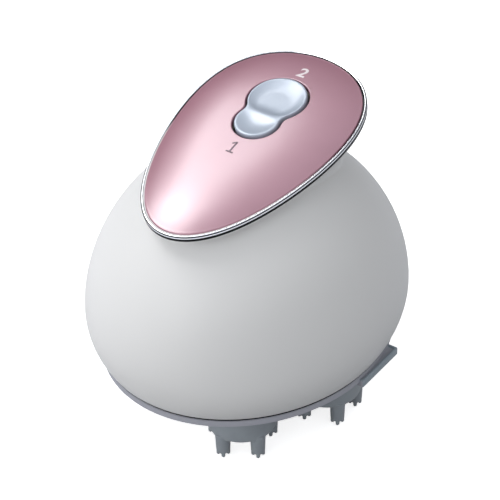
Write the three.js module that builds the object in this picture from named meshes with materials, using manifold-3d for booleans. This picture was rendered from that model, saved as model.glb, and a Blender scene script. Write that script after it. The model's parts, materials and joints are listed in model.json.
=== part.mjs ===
// Electric scalp massager: a hand-held dome with a tilted, teardrop-shaped top, a two-lobed rocker
// button and five silicone brush heads that a motor turns through a gear train.
// Millimetres, +Z up. The origin lies under the middle of the body, on the plane of the finger tips.
// The narrow end of the top points along -Y, and the wide end hangs over along +Y.

import * as THREE from 'three';
import { mergeVertices } from 'three/addons/utils/BufferGeometryUtils.js';
import Module from 'manifold-3d';

const wasm = await Module();
wasm.setup();

// Fits
const seatGap = 0.3;            // between two pieces that rest on, or lie beside, each other
const runningGap = 0.3;         // radial play of a shaft in its bore
const stageGap = 0.8;           // height between two layers of turning gears
const rockerGap = 0.8;          // between the rocker button and the panel all round
const cutReach = 3;             // how far a cut runs past the faces that it opens

// Body shell
const bodyHalfWidth = 54.5;     // belly, along X
const bodyOval = 1.14;          // length of the plan over its width
const bellyRise = 19;           // widest plan above the underside of the base ring
const bellyLevel = 0.33;        // its share of the way from the seam to the neck
const lowerCurve = 38.8;        // height over which the lower side would close
const upperCurve = 57.15;       // height over which the upper side would close
const upperPower = 1.86;
const housingWall = 2.4;
const neckFront = 6;            // how far the neck stands inside the rim at the front
const neckSide = 5;
const neckBack = 10;
const neckTurn = 0.15;          // share of the neck's height in which it still follows the dome
const neckFlare = 0.4;          // share of the neck's height in which it turns out to the rim

// Teardrop top
const rimLength = 95.4;
const rimWidth = 61.7;
const rimEgg = 0.23;            // how much wider the back end is than the front end
const rimBlunt = 0.12;          // how full both ends are
const rimTilt = THREE.MathUtils.degToRad(13);
const rimClear = 1.45;          // centre of the rim plane above the point where the dome would close
const rimMiddle = 1.07;         // centre of the rim plane along Y
const rimBand = 1.1;            // visible width of the chrome band
const rimCrest = 0.2;           // top of the band above the rim plane
const rimShoulder = 0.3;        // its crest starts to round this far below the rim plane
const rimDepth = 1.2;           // underside of the band below the rim plane
const rimLedge = 2;             // ledge inside the band that carries the panel
const rimLedgeThickness = 0.6;
const panelThickness = 2;
const panelEdge = 0.7;          // thickness of the panel where it lies on the ledge
const panelRoll = 2.4;          // height of the steep rolled edge
const panelRollShare = 0.945;   // the roll ends at this share of the way to the edge
const panelCrown = 1.4;         // further rise of the panel to its middle
const panelCrownPower = 3;

// Rocker button
const lobeBack = { along: 19.5, radius: 10.3 };     // centre along the top, and radius
const lobeFront = { along: 7.1, radius: 7.8 };
const waistFillet = 5;
const rockerProud = 0.7;        // rocker top above the panel
const rockerEdge = 0.5;         // rounding of its upper edge
const rockerSkirt = 3.4;        // lower edge of the rocker below the panel top
const rockerWall = 1.5;
const rockerFace = 2;           // thickness of the pressed face
const lobeBorder = 2;           // bright border round each dish
const dishShift = 0.6;          // dishes lie this much apart from the lobes' centres
const dishDepth = 1;
const pinRadius = 1;
const pinDepth = 5.1;           // pin axis below the panel top
const rockerLug = 4.4;          // length along the top of the lug that holds the pin
const rockerFoot = 1.4;         // radius of each foot that presses a switch
const footShift = { back: 2, front: -1.5 };         // each foot from the centre of its lobe
const rockerSwing = THREE.MathUtils.degToRad(3.5);
const collarTop = 3.4;          // button frame, below the panel top
const collarWall = 1.5;
const collarHeight = 4.3;
const membraneThickness = 0.6;
const membraneRim = 1.5;
const boardThickness = 1.2;
const switchSide = 5;
const switchBody = 0.8;
const plungerRadius = 1.5;

// Base
const ringHeight = 3.4;         // base ring, from its underside to the seam
const ringFoot = 50;            // half width of the ring at its underside
const platformRadius = 42.5;
const platformDepth = 8.1;      // platform below the ring
const floorThickness = 2.4;
const lipHeight = 3.3;
const lipWall = 1.8;
const sealWall = 0.7;
const sealHeight = 1.3;
const lugLength = 22.5;         // side lug, along Y
const lugMiddle = 7;            // its middle along Y
const lugReach = 51.4;          // its outer face from the middle plane
const lugInner = 47;
const lugThickness = 3;
const lugRise = 1.8;            // its top above the underside of the ring
const lugChannel = { width: 2.6, depth: 0.6, edge: 1.1 };

// Brush heads
const headCircle = 30;          // radius on which the five spindles stand
const headAngles = [-60, 12, 84, 156, 228];
const headRadius = 12.6;
const headThickness = 10;
const headRounding = 2;
const headGap = 0.5;            // between head and platform
const fingerCount = 5;
const fingerCircle = 10.4;
const fingerRoot = 2.7;
const fingerEnd = 2.4;
const fingerLength = 8;
const fingerTurns = [50, 38, 16, 60, 18];       // turn of each head's fingers
const nubCount = 4;
const nubCircle = 1.75;
const nubRadius = 0.65;
const nubTurn = 36;             // direction of the first nub on every finger, in degrees
const nubLength = 1.7;
const socketDepth = 5.5;

// Shafts
const spindleRadius = 2.4;
const bushWall = 1.5;
const sealThickness = 2;
const axleRadius = 2;
const axleShoulder = 0.8;
const idlerAxleRadius = 1.5;
const motorShaftRadius = 1;
const bossWall = 2;

// Gears
const gearBacklash = 0.16;      // share of the tooth thickness left free
const addendum = 0.85;
const dedendum = 1.2;
const headStage = { module: 1.5, sun: 24, planet: 16, face: 4.8 };
const sunStage = { module: 1.25, wheel: 32, pinion: 12, face: 3.6 };
const motorStage = { module: 0.9, wheel: 32, pinion: 10, face: 3 };
const idlerAngle = 48;          // direction of the idler from the middle, in degrees
const motorAngle = 228;         // direction of the motor from the idler, in degrees
const pinionOverhang = 0.4;     // a pinion is this much longer than the wheel it drives

// Carrier plate, motor, battery and board
const plateRadius = 39;
const plateThickness = 2;
const postRadius = 2.8;
const postPlaces = [[120, 34], [-168, 36], [-96, 34], [-24, 36]];    // degrees and radius
const motorRadius = 12.2;
const motorLength = 30.8;
const motorBossRadius = 3;
const motorBossHeight = 2;
const motorShaftDepth = 9;      // bore for the shaft inside the motor
const cellRadius = 9.2;
const cellLength = 65;
const cellPlace = -24;          // middle of the cell along Y
const cradleWall = 1.6;
const cradleWidth = 6;
const cradleStrip = 10;         // strip that joins the two saddles
const mainBoard = { length: 44, width: 20, thickness: 1.6, middle: 31, standoff: 4 };
const standoffRadius = 1.8;

// Fasteners and contacts
const screwRadius = 1.2;
const screwHead = 2.4;
const screwHeadHeight = 1.2;
const screwLength = 9;
const screwBossRadius = 3.1;
const screwWeb = 1.8;
const screwDirections = [56, 124, -75, -107];    // of the base screws, in degrees
const contactRadius = 2.2;
const contactSpread = 9;        // each contact from the middle, along Y

// Faceting
const planSteps = 32;
const roundSteps = 10;

// Heights
const headBottom = fingerLength;
const headTop = headBottom + headThickness;
const floorBottom = headTop + headGap;
const floorTop = floorBottom + floorThickness;
const ringBottom = floorBottom + platformDepth;
const seamHeight = ringBottom + ringHeight;
const ringTop = seamHeight - seatGap;
const flangeTop = ringBottom + floorThickness;
const lipTop = ringTop + lipHeight;
const bossTop = flangeTop;
const planetBottom = bossTop + seatGap;
const planetTop = planetBottom + headStage.face;
const sunWheelBottom = planetTop + stageGap;
const sunWheelTop = sunWheelBottom + sunStage.face;
const idlerWheelBottom = sunWheelTop + stageGap;
const idlerWheelTop = idlerWheelBottom + motorStage.face;
const plateBottom = idlerWheelTop + stageGap;
const plateTop = plateBottom + plateThickness;
const rimHeight = ringBottom + bellyRise + upperCurve + rimClear;

const solidMesh = (vertices, triangles) => new wasm.Mesh({
  numProp: 3,
  vertProperties: new Float32Array(vertices),
  triVerts: new Uint32Array(triangles),
});

// A closed geometry as a solid: shared vertices are merged and flat triangles left out.
function solid(geometry) {
  const bare = new THREE.BufferGeometry();
  bare.setAttribute('position', geometry.getAttribute('position').clone());
  if (geometry.index) bare.setIndex(geometry.index.clone());
  const merged = mergeVertices(bare, 1e-4);
  const corners = merged.index.array;
  const triangles = [];
  for (let i = 0; i < corners.length; i += 3) {
    const [a, b, c] = [corners[i], corners[i + 1], corners[i + 2]];
    if (a !== b && b !== c && c !== a) triangles.push(a, b, c);
  }
  return new wasm.Manifold(solidMesh(merged.getAttribute('position').array, triangles));
}

function geometryOf(body) {
  const mesh = body.getMesh();
  const geometry = new THREE.BufferGeometry();
  geometry.setAttribute('position', new THREE.BufferAttribute(new Float32Array(mesh.vertProperties), 3));
  geometry.setIndex(new THREE.BufferAttribute(new Uint32Array(mesh.triVerts), 1));
  geometry.computeVertexNormals();
  return geometry;
}

const joined = (bodies) => bodies.reduce((whole, body) => whole.add(body));
const cut = (body, tools) => tools.reduce((rest, tool) => rest.subtract(tool), body);

// Rings of points, each counter-clockwise seen from the side that the rings run towards, joined
// into one closed body with a fan on its first and last ring.
function loft(rings) {
  const count = rings[0].length;
  const vertices = [];
  const triangles = [];
  for (const ring of rings) for (const p of ring) vertices.push(p.x, p.y, p.z);
  for (let r = 0; r + 1 < rings.length; r += 1) {
    for (let i = 0; i < count; i += 1) {
      const [a, b] = [r * count + i, r * count + ((i + 1) % count)];
      triangles.push(a, b, b + count, a, b + count, a + count);
    }
  }
  for (const last of [false, true]) {
    const ring = last ? rings.length - 1 : 0;
    const middle = rings[ring].reduce((sum, p) => sum.add(p), new THREE.Vector3());
    middle.divideScalar(count);
    const hub = vertices.length / 3;
    vertices.push(middle.x, middle.y, middle.z);
    for (let i = 0; i < count; i += 1) {
      const [a, b] = [ring * count + i, ring * count + ((i + 1) % count)];
      if (last) triangles.push(hub, a, b);
      else triangles.push(hub, b, a);
    }
  }
  const geometry = new THREE.BufferGeometry();
  geometry.setAttribute('position', new THREE.Float32BufferAttribute(vertices, 3));
  geometry.setIndex(triangles);
  return geometry;
}

// A profile of [radius, height] pairs turned about Z.
function turned(profile, steps = roundSteps) {
  const points = profile.map(([radius, height]) => new THREE.Vector2(radius, height));
  return new THREE.LatheGeometry(points, steps).rotateX(Math.PI / 2);
}

const rod = (radius, low, high, steps = roundSteps) =>
  turned([[0, low], [radius, low], [radius, high], [0, high]], steps);

const tube = (inner, outer, low, high, steps = roundSteps) =>
  turned([[inner, low], [outer, low], [outer, high], [inner, high], [inner, low]], steps);

const block = (x, y, z, low) => new THREE.BoxGeometry(x, y, z).translate(0, 0, low + z / 2);

const polar = (degrees, radius) => {
  const angle = THREE.MathUtils.degToRad(degrees);
  return new THREE.Vector2(radius * Math.cos(angle), radius * Math.sin(angle));
};

// Plan angles of the body and of the top share one parameter: 0 at +X, a quarter turn at +Y.
const planAngles = Array.from({ length: planSteps }, (_, i) => (2 * Math.PI * i) / planSteps);

// Half width of the shell at a height above the underside of the ring.
function shellRadius(rise) {
  const step = rise - bellyRise;
  if (step < 0) return bodyHalfWidth * Math.sqrt(1 - (step / lowerCurve) ** 2);
  return bodyHalfWidth * Math.sqrt(1 - (step / upperCurve) ** upperPower);
}

const shellPoint = (angle, rise) => new THREE.Vector3(
  shellRadius(rise) * Math.cos(angle),
  bodyOval * shellRadius(rise) * Math.sin(angle),
  ringBottom + rise,
);

// Teardrop outline in its own plane, x across and y along, moved inwards by an inset.
function rimOutline(angle, inset) {
  const place = (a) => {
    const along = Math.sin(a);
    const across = (rimWidth / 2) * Math.cos(a) * (1 + rimEgg * along + rimBlunt * along ** 2);
    return new THREE.Vector2(across, (rimLength / 2) * along);
  };
  const step = 1e-3;
  const tangent = place(angle + step).sub(place(angle - step)).normalize();
  return place(angle).add(new THREE.Vector2(-tangent.y, tangent.x).multiplyScalar(inset));
}

const rimFrame = new THREE.Matrix4().makeRotationX(rimTilt).setPosition(0, rimMiddle, rimHeight);
const rimPoint = (angle, inset, height) => {
  const flat = rimOutline(angle, inset);
  return new THREE.Vector3(flat.x, flat.y, height).applyMatrix4(rimFrame);
};

// Neck: it stands on the dome, inside the rim's outline, and turns out to just under the rim.
const neckInset = (angle) => {
  const back = Math.sin(angle);
  const slant = (neckBack - neckFront) / 2;
  const ends = (neckBack + neckFront) / 2 - neckSide;
  return neckSide + slant * back + ends * back ** 2;
};

// Where the neck meets the dome: the plan angle and the height above the underside of the ring.
function neckFoot(angle) {
  const place = rimPoint(angle, neckInset(angle), 0);
  const across = place.x;
  const along = place.y / bodyOval;
  const share = Math.hypot(across, along) / bodyHalfWidth;
  const rise = bellyRise + upperCurve * (1 - share ** 2) ** (1 / upperPower);
  const lead = Math.atan2(along, across) - angle;
  return { turn: angle + Math.atan2(Math.sin(lead), Math.cos(lead)), rise };
}

function neckCurve(angle) {
  const foot = neckFoot(angle);
  const start = shellPoint(foot.turn, foot.rise);
  const along = shellPoint(foot.turn, foot.rise + 0.1).sub(start).normalize();
  const end = rimPoint(angle, 0, -rimDepth - seatGap);
  const height = end.z - start.z;
  const bend = rimPoint(angle, neckInset(angle), -rimDepth - seatGap - neckFlare * height);
  const follow = along.multiplyScalar(neckTurn * height).add(start);
  return new THREE.CubicBezierCurve3(start, follow, bend, end);
}

// Outer surface at a plan angle and a level: 0 at the seam, 1 at the neck, 2 under the rim.
function shellSurface(angle, level) {
  if (level >= 1) return neckCurve(angle).getPoint(level - 1);
  if (level <= bellyLevel) {
    return shellPoint(angle, ringHeight + ((bellyRise - ringHeight) * level) / bellyLevel);
  }
  const foot = neckFoot(angle);
  const share = (level - bellyLevel) / (1 - bellyLevel);
  const turn = angle + (foot.turn - angle) * share ** 2;
  return shellPoint(turn, bellyRise + (foot.rise - bellyRise) * share);
}

function shellNormal(angle, level) {
  const step = 1e-3;
  const round = shellSurface(angle + step, level).sub(shellSurface(angle - step, level));
  const low = Math.max(level - step, 0);
  const high = Math.min(level + step, 2);
  return round.cross(shellSurface(angle, high).sub(shellSurface(angle, low))).normalize();
}

// The shell filled to a surface an inset below its outside, run on past both its open ends.
function shellSolid(inset, levels, overrun) {
  const rings = levels.map((level) => planAngles.map((angle) => {
    if (level === 2) return rimPoint(angle, inset, -rimDepth - seatGap);
    return shellSurface(angle, level).addScaledVector(shellNormal(angle, level), -inset);
  }));
  rings[0].forEach((p) => p.setZ(seamHeight));
  if (overrun > 0) {
    rings.unshift(rings[0].map((p) => p.clone().setZ(seamHeight - overrun)));
    rings.push(planAngles.map((angle) => rimPoint(angle, inset, -rimDepth - seatGap + overrun)));
  }
  return solid(loft(rings));
}

// Base screws stand against the inside of the base's lip.
const lipOuter = shellRadius(ringHeight) - housingWall - 2 * seatGap;
const lipInner = lipOuter - lipWall;
const screwPlaces = screwDirections.map((degrees) => {
  const way = polar(degrees, 1);
  const reach = lipInner / Math.hypot(way.x, way.y / bodyOval);
  return [degrees, reach - screwBossRadius - seatGap];
});

function domeHousing() {
  const outerLevels = [0, 0.16, bellyLevel, 0.5, 0.66, 0.8, 0.92, 1, 1.3, 1.62, 2];
  const innerLevels = [0, bellyLevel, 0.58, 0.8, 0.98, 1.5, 2];
  const wall = shellSolid(0, outerLevels, 0)
    .subtract(shellSolid(housingWall, innerLevels, 2));
  const trim = shellSolid(housingWall / 2, innerLevels, 2);
  const bossBottom = flangeTop + seatGap;
  const bossEnd = bossBottom + screwLength + 2;
  const webBottom = lipTop + seatGap;
  const webReach = bodyOval * bodyHalfWidth;
  const posts = screwPlaces.map(([degrees, radius]) => {
    const place = polar(degrees, radius);
    return solid(rod(screwBossRadius, bossBottom, bossEnd, 8).translate(place.x, place.y, 0));
  });
  const webs = screwPlaces.map(([degrees, radius]) => {
    const web = block(webReach - radius, screwWeb, bossEnd - webBottom, webBottom)
      .translate((webReach + radius) / 2, 0, 0)
      .rotateZ(THREE.MathUtils.degToRad(degrees));
    return solid(web).intersect(trim);
  });
  const bores = screwPlaces.map(([degrees, radius]) => {
    const place = polar(degrees, radius);
    const bore = rod(screwRadius + runningGap, bossBottom - 1, bossBottom + screwLength, 6);
    return solid(bore.translate(place.x, place.y, 0));
  });
  return geometryOf(cut(joined([wall, ...posts, ...webs]), bores));
}

// Chrome band with the ledge that carries the panel, in the plane of the rim.
function chromeRim() {
  const foot = -rimDepth;
  const ledge = foot + rimLedgeThickness;
  const section = [
    [0, foot], [0, -rimShoulder], [0.2 * rimBand, 0.7 * rimCrest], [0.5 * rimBand, rimCrest],
    [0.82 * rimBand, 0.7 * rimCrest], [rimBand, -0.1], [rimBand, ledge],
    [rimBand + rimLedge, ledge], [rimBand + rimLedge, foot],
  ];
  const rings = [...section, section[0]].map(([inset, height]) => planAngles.map((angle) => {
    const flat = rimOutline(angle, inset);
    return new THREE.Vector3(flat.x, flat.y, height);
  }));
  const geometry = loft(rings);
  const band = (section.length * planSteps) * 6;
  geometry.setIndex([...geometry.index.array].slice(0, band));
  return geometryOf(solid(geometry));
}

// Height of the panel's top over the rim plane at a share of the way from its middle to its edge.
function panelHeight(share) {
  const base = -rimDepth + rimLedgeThickness + seatGap + panelEdge;
  if (share >= panelRollShare) {
    const run = (1 - share) / (1 - panelRollShare);
    return base + panelRoll * Math.sqrt(1 - (1 - run) ** 2);
  }
  return base + panelRoll + panelCrown * (1 - (share / panelRollShare) ** panelCrownPower);
}

const panelPoint = (angle, share, height) => {
  const flat = rimOutline(angle, rimBand + seatGap).multiplyScalar(share);
  return new THREE.Vector3(flat.x, flat.y, height);
};

// The rocker's own frame: level with the panel's top at the two ends of the rocker.
const lobeSpacing = lobeBack.along - lobeFront.along;
const waistAlong = lobeFront.along + (lobeSpacing ** 2 - (lobeBack.radius + waistFillet) ** 2
  + (lobeFront.radius + waistFillet) ** 2) / (2 * lobeSpacing);
const panelHalfLength = rimLength / 2 - rimBand - seatGap;
const panelAt = (along) => panelHeight(Math.abs(along) / panelHalfLength);
const rockerBackEnd = lobeBack.along + lobeBack.radius;
const rockerFrontEnd = lobeFront.along - lobeFront.radius;
const rockerSlope = (panelAt(rockerBackEnd) - panelAt(rockerFrontEnd)) / (rockerBackEnd - rockerFrontEnd);
const rockerLevel = panelAt(rockerFrontEnd) + rockerSlope * (waistAlong - rockerFrontEnd);

const rockerFrame = new THREE.Matrix4().makeRotationX(Math.atan(rockerSlope))
  .setPosition(0, waistAlong, rockerLevel);

// Two lobes joined by fillets at the waist, grown outwards by an offset.
function lobesOutline(offset, height) {
  const back = lobeBack.radius + offset;
  const front = lobeFront.radius + offset;
  const fillet = waistFillet - offset;
  const filletAlong = waistAlong - lobeFront.along;
  const filletAcross = Math.sqrt((front + fillet) ** 2 - filletAlong ** 2);
  const frontEnd = Math.atan2(filletAlong, filletAcross);
  const backEnd = Math.atan2(lobeSpacing - filletAlong, filletAcross);
  const arc = (along, across, radius, from, to, steps) => Array.from({ length: steps }, (_, i) => {
    const angle = from + ((to - from) * i) / steps;
    return new THREE.Vector3(
      across + radius * Math.cos(angle),
      along - waistAlong + radius * Math.sin(angle),
      height,
    );
  });
  return [
    ...arc(lobeBack.along, 0, back, -backEnd, Math.PI + backEnd, 15),
    ...arc(waistAlong, -filletAcross, fillet, backEnd, -frontEnd, 2),
    ...arc(lobeFront.along, 0, front, Math.PI - frontEnd, 2 * Math.PI + frontEnd, 12),
    ...arc(waistAlong, filletAcross, fillet, Math.PI + frontEnd, Math.PI - backEnd, 2),
  ];
}

const rockerOpening = rockerGap;
const collarInner = rockerGap + seatGap;
const collarOuter = collarInner + collarWall;
const lobesWaist = lobesOutline(0, 0).reduce((least, p) =>
  (Math.abs(p.y) < 1 ? Math.min(least, Math.abs(p.x)) : least), lobeBack.radius);
const alongX = (geometry) => geometry.rotateY(Math.PI / 2);
const pinBore = (radius, depth) => {
  const reach = 2 * lobeBack.radius;
  return solid(alongX(rod(radius, -reach, reach)).translate(0, 0, -depth));
};
const footPlaces = [lobeBack.along + footShift.back, lobeFront.along + footShift.front]
  .map((along) => along - waistAlong);

function topPanel() {
  const shares = [1, 0.986, 0.96, panelRollShare, 0.76, 0.56, 0.3];
  const under = [0.4, 0.86, 1];
  const foot = panelHeight(1) - panelEdge;
  const bottom = under.map((share) => {
    const height = Math.max(panelHeight(share) - panelThickness, foot);
    return planAngles.map((angle) => panelPoint(angle, share, share > 0.85 ? foot : height));
  });
  const top = shares.map((share) =>
    planAngles.map((angle) => panelPoint(angle, share, panelHeight(share))));
  const plate = solid(loft([...bottom, ...top]));
  const opening = solid(loft([
    lobesOutline(rockerOpening, -panelThickness - cutReach),
    lobesOutline(rockerOpening, rockerProud + cutReach),
  ]).applyMatrix4(rockerFrame));
  return geometryOf(plate.subtract(opening));
}

// One dished lobe, as the shallow bowl that is cut from the rocker's top.
function dishTool(lobe, shift) {
  const radius = lobe.radius - lobeBorder;
  const bowl = [0, 0.6].map((share) =>
    [radius * share, rockerProud - dishDepth * (1 - share ** 2)]);
  const profile = [...bowl, [radius, rockerProud], [radius, rockerProud + 1], [0, rockerProud + 1]];
  return solid(turned(profile, 16).translate(0, lobe.along - waistAlong + shift, 0));
}

function rockerButton() {
  const ceiling = rockerProud - dishDepth - rockerFace;
  const body = solid(loft([
    lobesOutline(0, -rockerSkirt),
    lobesOutline(0, rockerProud - rockerEdge),
    lobesOutline(-0.3 * rockerEdge, rockerProud - 0.3 * rockerEdge),
    lobesOutline(-rockerEdge, rockerProud),
  ]));
  const hollow = solid(loft([
    lobesOutline(-rockerWall, -rockerSkirt - 1),
    lobesOutline(-rockerWall, ceiling),
  ]));
  const lugEnd = -pinDepth - pinRadius - 1;
  const lug = block(2 * (lobesWaist - rockerWall / 2), rockerLug, ceiling - lugEnd + 0.5, lugEnd);
  const feet = footPlaces.map((along) =>
    solid(rod(rockerFoot, footEnd(along), ceiling + 0.5, 8).translate(0, along, 0)));
  const dishes = [dishTool(lobeBack, dishShift), dishTool(lobeFront, -dishShift)];
  const shell = joined([body.subtract(hollow), solid(lug), ...feet]);
  return geometryOf(cut(shell, [...dishes, pinBore(pinRadius + runningGap, pinDepth)]));
}

const rockerPin = () => {
  const reach = lobesWaist + collarOuter;
  return alongX(rod(pinRadius, -reach, reach, 10)).translate(0, 0, -pinDepth);
};

function buttonFrame() {
  const low = -collarTop - collarHeight;
  const outer = solid(loft([lobesOutline(collarOuter, low), lobesOutline(collarOuter, -collarTop)]));
  const inner = solid(loft([
    lobesOutline(collarInner, low - 1),
    lobesOutline(collarInner, 1 - collarTop),
  ]));
  return geometryOf(cut(outer, [inner, pinBore(pinRadius + runningGap, pinDepth)]));
}

const membraneTop = -collarTop - collarHeight - seatGap;

// Lower end of a foot, which comes down to just above the membrane when the rocker is pressed.
const footEnd = (along) =>
  membraneTop + seatGap + (Math.abs(along) + rockerFoot) * Math.sin(rockerSwing);

const membraneUnder = membraneTop - membraneThickness;
const membraneFoot = membraneUnder - membraneRim;
const boardTop = membraneFoot - seatGap;

const buttonMembrane = () => loft([
  lobesOutline(collarInner, membraneUnder),
  lobesOutline(collarInner, membraneFoot),
  lobesOutline(collarOuter, membraneFoot),
  lobesOutline(collarOuter, membraneTop),
]);

const switchBoard = () => loft([
  lobesOutline(collarOuter, boardTop - boardThickness),
  lobesOutline(collarOuter, boardTop),
]);

function tactSwitch() {
  const plungerTop = membraneUnder - seatGap;
  const low = boardTop + seatGap;
  const housing = solid(block(switchSide, switchSide, switchBody, low));
  const plunger = solid(rod(plungerRadius, low + switchBody / 2, plungerTop, 10));
  return geometryOf(housing.add(plunger));
}

const oval = (across, along, height) => planAngles.map((angle) =>
  new THREE.Vector3(across * Math.cos(angle), along * Math.sin(angle), height));
const ovalOf = (radius, height) => oval(radius, bodyOval * radius, height);

const bushInner = spindleRadius + runningGap;
const bushOuter = bushInner + bushWall;
const headPlaces = headAngles.map((degrees) => polar(degrees, headCircle));
const idlerDistance = (sunStage.module * (sunStage.wheel + sunStage.pinion)) / 2;
const idlerPlace = polar(idlerAngle, idlerDistance);
const motorDistance = (motorStage.module * (motorStage.wheel + motorStage.pinion)) / 2;
const motorPlace = idlerPlace.clone().add(polar(motorAngle, motorDistance));
const contactPlaces = [new THREE.Vector2(0, contactSpread), new THREE.Vector2(0, -contactSpread)];
const idlerPinionBottom = sunWheelBottom - pinionOverhang / 2;
const idlerBossTop = idlerPinionBottom - seatGap;
const postTop = plateBottom - seatGap;

const at = (geometry, place) => geometry.translate(place.x, place.y, 0);

function baseCover() {
  const well = platformRadius - floorThickness;
  const cup = solid(loft([
    oval(platformRadius - 0.8, platformRadius - 0.8, floorBottom),
    oval(platformRadius, platformRadius, floorBottom + 0.8),
    oval(platformRadius, platformRadius, ringBottom),
    ovalOf(ringFoot - 0.5, ringBottom),
    ovalOf(ringFoot, ringBottom + 0.5),
    ovalOf(shellRadius(ringHeight), ringTop),
    ovalOf(lipOuter, ringTop),
    ovalOf(lipOuter, lipTop),
    ovalOf(lipInner, lipTop),
    ovalOf(lipInner, flangeTop),
    oval(well, well, flangeTop),
    oval(well, well, floorTop),
  ]));
  const boss = (radius, top, place, steps) =>
    solid(at(rod(radius, floorBottom + floorThickness / 2, top, steps), place));
  const middle = new THREE.Vector2(0, 0);
  const spindleBosses = headPlaces.map((place) =>
    boss(bushOuter + seatGap + bossWall, bossTop, place, 10));
  const axleBosses = [
    boss(axleRadius + seatGap + bossWall, bossTop, middle, 8),
    boss(idlerAxleRadius + seatGap + bossWall, idlerBossTop, idlerPlace, 8),
  ];
  const posts = postPlaces.map(([degrees, radius]) =>
    boss(postRadius, postTop, polar(degrees, radius), 8));
  const hole = (radius, low, high, place, steps) => solid(at(rod(radius, low, high, steps), place));
  const bores = [
    ...headPlaces.map((place) => hole(bushOuter + seatGap, 0, bossTop + 1, place, 10)),
    hole(axleRadius + seatGap, floorTop, bossTop + 1, middle, 10),
    hole(idlerAxleRadius + seatGap, floorTop, idlerBossTop + 1, idlerPlace, 10),
    ...contactPlaces.map((place) => hole(contactRadius + seatGap, 0, floorTop + 1, place, 10)),
    ...postPlaces.map(([degrees, radius]) => hole(screwRadius + seatGap,
      plateTop + seatGap - screwLength - 1, postTop + 1, polar(degrees, radius), 6)),
    ...screwPlaces.map(([degrees, radius]) =>
      hole(screwRadius + seatGap, 0, flangeTop + 1, polar(degrees, radius), 6)),
    ...screwPlaces.map(([degrees, radius]) => hole(screwHead + seatGap, 0,
      ringBottom + screwHeadHeight + 1.5 * seatGap, polar(degrees, radius), 8)),
  ];
  return geometryOf(cut(joined([cup, sideLug(), ...spindleBosses, ...axleBosses, ...posts]), bores));
}

// Rectangular lug moulded on the +X side of the ring, with a shallow channel along its top.
function sideLug() {
  const top = ringBottom + lugRise;
  const width = lugReach - lugInner;
  const bar = block(width, lugLength, lugThickness, top - lugThickness)
    .translate(lugInner + width / 2, lugMiddle, 0);
  const channel = block(lugChannel.width, lugLength - 2 * lugChannel.edge, 1, top - lugChannel.depth)
    .translate(lugReach - lugChannel.edge - lugChannel.width / 2, lugMiddle, 0);
  return solid(bar).subtract(solid(channel));
}

// Rubber ring stretched round the base's lip, inside the housing.
function baseSeal() {
  const inner = lipOuter + seatGap / 2;
  const outer = inner + sealWall;
  const high = lipTop - seatGap;
  const low = high - sealHeight;
  const ring = solid(loft([ovalOf(outer, low), ovalOf(outer, high)]));
  return geometryOf(ring.subtract(solid(loft([ovalOf(inner, low - 1), ovalOf(inner, high + 1)]))));
}

// Teeth with involute ends and straight flanks, phased so that a tooth stands at an angle.
function gearShape(teeth, module, phase = 0) {
  const pressure = THREE.MathUtils.degToRad(20);
  const pitch = (module * teeth) / 2;
  const base = pitch * Math.cos(pressure);
  const tip = pitch + addendum * module;
  const root = pitch - dedendum * module;
  const involute = (radius) => {
    const slope = Math.acos(Math.min(1, base / radius));
    return Math.tan(slope) - slope;
  };
  const half = (radius) =>
    (Math.PI / (2 * teeth)) * (1 - gearBacklash) + involute(pitch) - involute(radius);
  const points = [];
  for (let tooth = 0; tooth < teeth; tooth += 1) {
    const middle = phase + (2 * Math.PI * tooth) / teeth;
    for (const [radius, side] of [[root, -1], [tip, -1], [tip, 1], [root, 1]]) {
      const angle = middle + side * half(Math.max(radius, base));
      points.push(new THREE.Vector2(radius * Math.cos(angle), radius * Math.sin(angle)));
    }
  }
  return new THREE.Shape(points);
}

function gear(teeth, module, low, high, phase) {
  const depth = high - low;
  const geometry = new THREE.ExtrudeGeometry(gearShape(teeth, module, phase),
    { depth, bevelEnabled: false });
  return solid(geometry.translate(0, 0, low));
}

// Turn of a gear in mesh with another: a gap of it faces a tooth of its driver, or the reverse.
function meshPhase(driverPhase, driverTeeth, teeth, direction) {
  const driverShare = ((direction - driverPhase) * driverTeeth) / (2 * Math.PI);
  return direction + Math.PI - ((0.5 - driverShare) * 2 * Math.PI) / teeth;
}

const sunPhase = 0;

function sunGear() {
  const lower = gear(headStage.sun, headStage.module, planetBottom, planetTop, sunPhase);
  const upper = gear(sunStage.wheel, sunStage.module, sunWheelBottom, sunWheelTop, sunPhase);
  const web = solid(rod(0.4 * sunStage.module * sunStage.wheel, planetTop - 0.5, sunWheelBottom + 0.5, 16));
  const hub = solid(rod(axleRadius + runningGap + bossWall, planetTop, sunWheelTop));
  const bore = solid(rod(axleRadius + runningGap, floorTop, plateTop));
  return geometryOf(joined([lower, upper, web, hub]).subtract(bore));
}

// Fixed axle with a shoulder that keeps the sun gear down.
const sunAxle = () => turned([
  [0, floorTop + seatGap], [axleRadius, floorTop + seatGap], [axleRadius, sunWheelTop + seatGap],
  [axleRadius + axleShoulder, sunWheelTop + seatGap], [axleRadius + axleShoulder, plateBottom - seatGap],
  [axleRadius, plateBottom - seatGap], [axleRadius, plateTop - seatGap], [0, plateTop - seatGap],
], 10);

const toRadians = THREE.MathUtils.degToRad;
const idlerPinionPhase = meshPhase(sunPhase, sunStage.wheel, sunStage.pinion, toRadians(idlerAngle));

function idlerGear() {
  const pinionTop = idlerWheelBottom + 0.3;
  const pinion = gear(sunStage.pinion, sunStage.module, idlerPinionBottom, pinionTop, idlerPinionPhase);
  const wheel = gear(motorStage.wheel, motorStage.module, idlerWheelBottom, idlerWheelTop, 0);
  const hub = solid(rod(idlerAxleRadius + runningGap + bossWall, idlerWheelTop - 0.5,
    plateBottom - seatGap, 10));
  const bore = solid(rod(idlerAxleRadius + runningGap, floorTop, plateTop, 10));
  return geometryOf(joined([pinion, wheel, hub]).subtract(bore));
}

const motorBase = plateTop + seatGap;

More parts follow.
